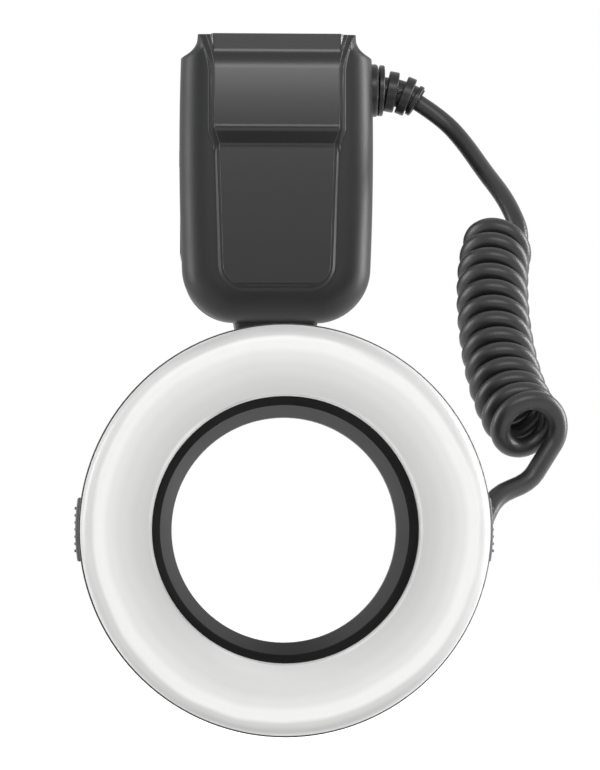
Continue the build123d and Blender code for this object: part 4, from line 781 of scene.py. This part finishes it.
# %% The mouldings of the controller, the ring and the cord
casing_plastic = worn_plastic("casing_plastic", (0.0075, 0.0077, 0.0082), 0.45, grain=1400.0,
                              depth=0.00004, strength=0.35, tone=0.15)
back_plastic = worn_plastic("back_plastic", (0.009, 0.0092, 0.0098), 0.66, grain=1000.0,
                            depth=0.00006, strength=0.4, tone=0.15, sheen=0.25)
panel_plastic = worn_plastic("panel_plastic", (0.005, 0.0051, 0.0055), 0.27, grain=2600.0,
                             depth=0.000006, strength=0.15, tone=0.02, sheen=0.45, drift=0.01)
ring_plastic = worn_plastic("ring_plastic", (0.012, 0.012, 0.013), 0.36, grain=1400.0,
                            depth=0.00004, strength=0.4)
button_plastic = worn_plastic("button_plastic", (0.13, 0.13, 0.135), 0.45, grain=1500.0,
                              depth=0.00003, strength=0.3)
key_rubber = worn_plastic("key_rubber", (0.03, 0.03, 0.032), 0.55, grain=1100.0, depth=0.00004,
                          strength=0.4)
dial_plastic = worn_plastic("dial_plastic", (0.018, 0.018, 0.019), 0.34, grain=1300.0,
                            depth=0.00003, strength=0.3)
battery_plastic = worn_plastic("battery_plastic", (0.022, 0.022, 0.024), 0.42, grain=1200.0,
                               depth=0.00004, strength=0.4)
foot_nylon = worn_plastic("foot_nylon", (0.025, 0.025, 0.027), 0.45, grain=1000.0, depth=0.00004,
                          strength=0.4)
collar_plastic = worn_plastic("collar_plastic", (0.022, 0.022, 0.0225), 0.6, grain=1300.0,
                              depth=0.00003, strength=0.35, sheen=0.0)
cord_rubber = worn_plastic("cord_rubber", (0.016, 0.016, 0.017), 0.38, grain=1500.0, depth=0.00003,
                           strength=0.3, sheen=0.4)
boot_rubber = worn_plastic("boot_rubber", (0.008, 0.008, 0.009), 0.34, grain=1200.0, depth=0.00003,
                           strength=0.35, sheen=0.35)
adapter_alloy = worn_plastic("adapter_alloy", (0.022, 0.022, 0.024), 0.45, grain=1500.0,
                             depth=0.00002, strength=0.25, tone=0.2, metallic=0.2, sheen=0.1)
print("mouldings", len([m for m in bpy.data.materials if m.name.endswith(("plastic", "rubber"))]))

# %% [markdown]
# The diffuser is a shell of opal plastic that spreads the tubes' light. Real scattering would show
# it, but that is slow, and noisy in a small picture. So its colour is a ramp along the distance
# from the bore's axis, and the ramp holds painted light as well as the shell's tone: a painted
# highlight over the crown, a thin painted highlight on the bore's lip, and a darker rim that is
# partly the thicker shell and partly painted shade where the rim rounds away. Between the lip and
# the crown it is greyer towards the bore. A little noise keeps the rings uneven.

# %% The milky cover
# Radius in mm and tone: the bright first stop is a painted highlight on the bore's lip, the peak
# over the crown is a painted highlight, and the dip at the rim is partly painted shade.
COVER_TONES_AND_PAINTED_LIGHT = [(37.0, 0.82), (38.0, 0.61), (40.5, 0.635), (45.0, 0.71), (48.5, 0.79),
               (50.8, 0.9), (52.6, 0.9), (54.2, 0.66), (56.2, 0.55), (57.2, 0.62)]
EDGE_DRIFT, EDGE_SCALE, BLUE_SHARE = 0.7, 28.0, 0.992
COVER_GLOSS_SCALE, COVER_SMOOTH, COVER_ROUGH = 30.0, 0.28, 0.38
COVER_GRAIN, COVER_STRENGTH, COVER_DEPTH = 500.0, 0.12, 0.00003


def milky_cover():
    """Opal plastic toned along the radius, with painted highlights on the crown and the bore's lip
    and painted shade at the rim.
    """
    material, tree, shader, place = finish_tree("milky_cover", (0.8, 0.8, 0.79), 0.32, sheen=0.4)
    centre = tree.nodes.new("ShaderNodeMapping")
    centre.inputs["Location"].default_value = (0, 0, -RING_AXIS.z)
    centre.inputs["Scale"].default_value = (1, 0, 1)
    tree.links.new(place, centre.inputs["Vector"])
    reach = tree.nodes.new("ShaderNodeVectorMath")
    reach.operation = "LENGTH"
    tree.links.new(centre.outputs["Vector"], reach.inputs[0])
    drift = spread(tree, noise(tree, place, EDGE_SCALE), -EDGE_DRIFT * MM, EDGE_DRIFT * MM)
    moved = tree.nodes.new("ShaderNodeMath")
    moved.operation = "ADD"
    tree.links.new(reach.outputs["Value"], moved.inputs[0])
    tree.links.new(drift, moved.inputs[1])
    low, high = COVER_TONES_AND_PAINTED_LIGHT[0][0], COVER_TONES_AND_PAINTED_LIGHT[-1][0]
    along = spread(tree, moved.outputs["Value"], 0.0, 1.0, low * MM, high * MM, smooth=False)
    ramp = tree.nodes.new("ShaderNodeValToRGB")
    ramp.color_ramp.interpolation = "EASE"
    stops = ramp.color_ramp.elements
    while len(stops) < len(COVER_TONES_AND_PAINTED_LIGHT):
        stops.new(1.0)
    for stop, (radius, tone) in zip(stops, COVER_TONES_AND_PAINTED_LIGHT):
        stop.position = (radius - low) / (high - low)
        stop.color = (tone, tone, tone * BLUE_SHARE, 1)
    tree.links.new(along, ramp.inputs["Fac"])
    tree.links.new(ramp.outputs["Color"], shader.inputs["Base Color"])
    gloss = spread(tree, noise(tree, place, COVER_GLOSS_SCALE), COVER_SMOOTH, COVER_ROUGH)
    tree.links.new(gloss, shader.inputs["Roughness"])
    bump(tree, shader, noise(tree, place, COVER_GRAIN), COVER_STRENGTH, COVER_DEPTH)
    return material


# %% [markdown]
# Metal, glass and the rest. Springs, screws and contacts show tool marks along their length, so
# their noise is stretched. The screen's cover and the tubes are clear. Boards, sleeves and resin
# show only when the part is taken apart, and have the colours that such pieces have.

# %% Metal, glass, and what shows only when the part is taken apart
STREAKS, STREAK_STRETCH, STREAK_STRENGTH, STREAK_DEPTH = 400.0, 14, 0.15, 0.00002
SMOOTHEST, ROUGHEST = 0.8, 1.3
GLASS_IOR, GLASS_WAVES, GLASS_STRENGTH, GLASS_DEPTH = 1.46, 60.0, 0.05, 0.0001


def steel(name, colour, roughness):
    """Rolled or turned metal with fine streaks."""
    material, tree, shader, place = finish_tree(name, colour, roughness, 1.0)
    stretch = tree.nodes.new("ShaderNodeMapping")
    stretch.inputs["Scale"].default_value = (1, STREAK_STRETCH, 1)
    tree.links.new(place, stretch.inputs["Vector"])
    streaks = noise(tree, stretch.outputs["Vector"], STREAKS, FINE_DETAIL)
    gloss = spread(tree, streaks, roughness * SMOOTHEST, roughness * ROUGHEST)
    tree.links.new(gloss, shader.inputs["Roughness"])
    bump(tree, shader, streaks, STREAK_STRENGTH, STREAK_DEPTH)
    return material


def glassy(name, colour, roughness, transmission):
    """Clear plastic or glass with a faint unevenness."""
    material, tree, shader, place = finish_tree(name, colour, roughness)
    shader.inputs["Transmission Weight"].default_value = transmission
    shader.inputs["IOR"].default_value = GLASS_IOR
    bump(tree, shader, noise(tree, place, GLASS_WAVES), GLASS_STRENGTH, GLASS_DEPTH)
    return material


milky = milky_cover()
spring_steel = steel("spring_steel", (0.6, 0.6, 0.61), 0.3)
black_screw = steel("black_screw", (0.08, 0.08, 0.085), 0.35)
gold_contact = steel("gold_contact", (0.83, 0.62, 0.28), 0.25)
tube_glass = glassy("tube_glass", (0.93, 0.96, 0.97), 0.05, 0.9)
screen_cover = glassy("screen_cover", (0.72, 0.76, 0.78), 0.04, 0.95)
screen_ink = worn_plastic("screen_ink", (0.03, 0.035, 0.04), 0.3, grain=900.0, depth=0.00001,
                          strength=0.1, tone=0.1)
mark_white = worn_plastic("mark_white", (0.55, 0.55, 0.55), 0.45, grain=900.0, depth=0.00002,
                          strength=0.2, tone=0.05)
reflector_white = worn_plastic("reflector_white", (0.85, 0.85, 0.84), 0.25, grain=800.0,
                               depth=0.00002, strength=0.15, tone=0.02)
board_green = worn_plastic("board_green", (0.02, 0.12, 0.055), 0.3, grain=900.0, depth=0.00003,
                           strength=0.3)
can_sleeve = worn_plastic("can_sleeve", (0.03, 0.045, 0.12), 0.3, grain=700.0, depth=0.00002,
                          strength=0.2)
lamp_resin = worn_plastic("lamp_resin", (0.85, 0.72, 0.3), 0.25, grain=700.0, depth=0.00002,
                          strength=0.2, tone=0.05)
screen_grey = worn_plastic("screen_grey", (0.33, 0.4, 0.38), 0.3, grain=900.0, depth=0.00002,
                           strength=0.2, tone=0.05)

# %% [markdown]
# Every solid gets its finish from one table, so that no piece is forgotten. The solids stay as they
# are, and only their material slots change. The pieces made above get theirs one by one.

# %% Which node has which finish
FINISHES = {
    milky: ["diffuser"],
    ring_plastic: ["ring_rear_shell"],
    collar_plastic: ["inner_collar"],
    adapter_alloy: ["adapter_ring"],
    button_plastic: ["latch_slider_left", "latch_slider_right"],
    casing_plastic: ["controller_front_shell", "shoe_base"],
    back_plastic: ["controller_rear_shell"],
    panel_plastic: ["front_panel"],
    key_rubber: ["soft_key_1", "soft_key_2", "soft_key_3", "soft_key_4", "menu_button",
                 "mode_button", "lamp_button", "test_button", "set_button", "port_flap"],
    dial_plastic: ["control_dial", "power_switch", "battery_release", "lock_lever"],
    battery_plastic: ["battery_pack", "battery_bay", "tube_holders", "dial_encoder", "key_switches",
                      "charging_transformer"],
    foot_nylon: ["shoe_foot"],
    boot_rubber: ["controller_cable_boot", "ring_cable_boot"],
    spring_steel: ["latch_spring_left", "latch_spring_right", "latch_plate", "lock_pin",
                   "usb_socket", "sync_socket"],
    black_screw: ["ring_screws", "case_screws", "shoe_screws"],
    gold_contact: ["foot_contacts", "battery_contacts"],
    tube_glass: ["flash_tube_left", "flash_tube_right"],
    screen_cover: ["display_window"],
    reflector_white: ["reflector_tray"],
    board_green: ["ring_board", "main_board"],
    can_sleeve: ["main_capacitor"],
    lamp_resin: ["modelling_leds"],
    screen_grey: ["display_module"],
}
for material, names in FINISHES.items():
    for name in names:
        mesh = nodes[name].data
        mesh.materials.clear()
        mesh.materials.append(material)
cord.data.materials.append(cord_rubber)
casing.data.materials.append(casing_plastic)
panel.data.materials.append(panel_plastic)
boot_webs.data.materials.append(boot_rubber)
screen_marks.data.materials.append(screen_ink)
for mark in marks:
    mark.data.materials.append(mark_white)
for grip in grips:
    grip.data.materials.append(button_plastic)
for spring in springs:
    spring.data.materials.clear()
    spring.data.materials.append(spring_steel)
dressed = sum(len(names) for names in FINISHES.values())
print("nodes with a finish", dressed, "of", len(nodes))

# %% [markdown]
# A plain pale set. The origin is under the foot, so the floor lies well below it, under the lamp.
# Lamps alone could make the set white, but they would wash out the part. So the floor and the world
# are white only for rays from the camera or from a gloss, and the part has its own plain light: a
# wide soft one above and in front draws the crowned faces, a tall strip on each side draws the
# round edges, the right one twice as strong, and an even sky fills the rest.

# %% Floor
FLOOR_GAP, FLOOR_SIZE, FLOOR_BACK, FLOOR_GLOW = 0.02, 6.0, 0.6, 0.68
FLOOR_COLOUR, FLOOR_ROUGHNESS = (0.85, 0.85, 0.85), 0.8


def seen_by(tree):
    """1 for rays from the camera, and for those that a glossy or clear surface sends on."""
    path = tree.nodes.new("ShaderNodeLightPath")
    total = path.outputs["Is Camera Ray"]
    for other in ("Is Glossy Ray", "Is Transmission Ray"):
        more = tree.nodes.new("ShaderNodeMath")
        more.operation = "MAXIMUM"
        tree.links.new(total, more.inputs[0])
        tree.links.new(path.outputs[other], more.inputs[1])
        total = more.outputs["Value"]
    return total


floor_z = cad_low.z - FLOOR_GAP
bpy.ops.object.select_all(action="DESELECT")
bpy.ops.mesh.primitive_plane_add(size=FLOOR_SIZE, location=(0, FLOOR_BACK, floor_z))
floor = bpy.context.active_object
floor.name = "floor"
floor_material, floor_tree, floor_shader = finish_tree("floor_white", FLOOR_COLOUR,
                                                       FLOOR_ROUGHNESS)[:3]
floor_seen = seen_by(floor_tree)
glow = floor_tree.nodes.new("ShaderNodeMath")
glow.operation = "MULTIPLY"
glow.inputs[1].default_value = FLOOR_GLOW
floor_tree.links.new(floor_seen, glow.inputs[0])
floor_shader.inputs["Emission Color"].default_value = (1, 1, 1, 1)
floor_tree.links.new(glow.outputs["Value"], floor_shader.inputs["Emission Strength"])
floor.data.materials.append(floor_material)

# %% World: white where it is seen, a plain sky for light
SKY_LEVEL, SEEN_LEVEL = 0.34, 1.0
world = bpy.data.worlds.new("studio")
bpy.context.scene.world = world
world.use_nodes = True
tree = world.node_tree
sky = tree.nodes["Background"]
sky.inputs["Color"].default_value = (1, 1, 1, 1)
sky.inputs["Strength"].default_value = SKY_LEVEL
white = tree.nodes.new("ShaderNodeBackground")
white.inputs["Color"].default_value = (1, 1, 1, 1)
white.inputs["Strength"].default_value = SEEN_LEVEL
both = tree.nodes.new("ShaderNodeMixShader")
tree.links.new(seen_by(tree), both.inputs["Fac"])
tree.links.new(sky.outputs["Background"], both.inputs[1])
tree.links.new(white.outputs["Background"], both.inputs[2])
tree.links.new(both.outputs["Shader"], tree.nodes["World Output"].inputs["Surface"])
print("floor at", round(floor_z, 4), "sky", SKY_LEVEL)

# %% Lights: name, place, width and height in metres, power in watts
LIGHTS = [("key_light", (0.06, -0.93, 0.52), (0.9, 0.26), 4.9),
          ("left_strip", (-0.8, 0.0, 0.05), (0.2, 0.9), 6.0),
          ("right_strip", (0.8, 0.05, 0.05), (0.2, 0.9), 12.0)]
LIGHT_TARGET = (0, -0.08, 0.0)


def soft_light(name, place, size, power):
    """A rectangle of light that faces the part."""
    data = bpy.data.lights.new(name, "AREA")
    data.shape = "RECTANGLE"
    data.size, data.size_y = size
    data.energy = power
    lamp = bpy.data.objects.new(name, data)
    bpy.context.scene.collection.objects.link(lamp)
    lamp.location = place
    lamp.rotation_euler = (Vector(LIGHT_TARGET) - lamp.location).to_track_quat("-Z", "Y").to_euler()


for light in LIGHTS:
    soft_light(*light)
print("lights", len(LIGHTS))
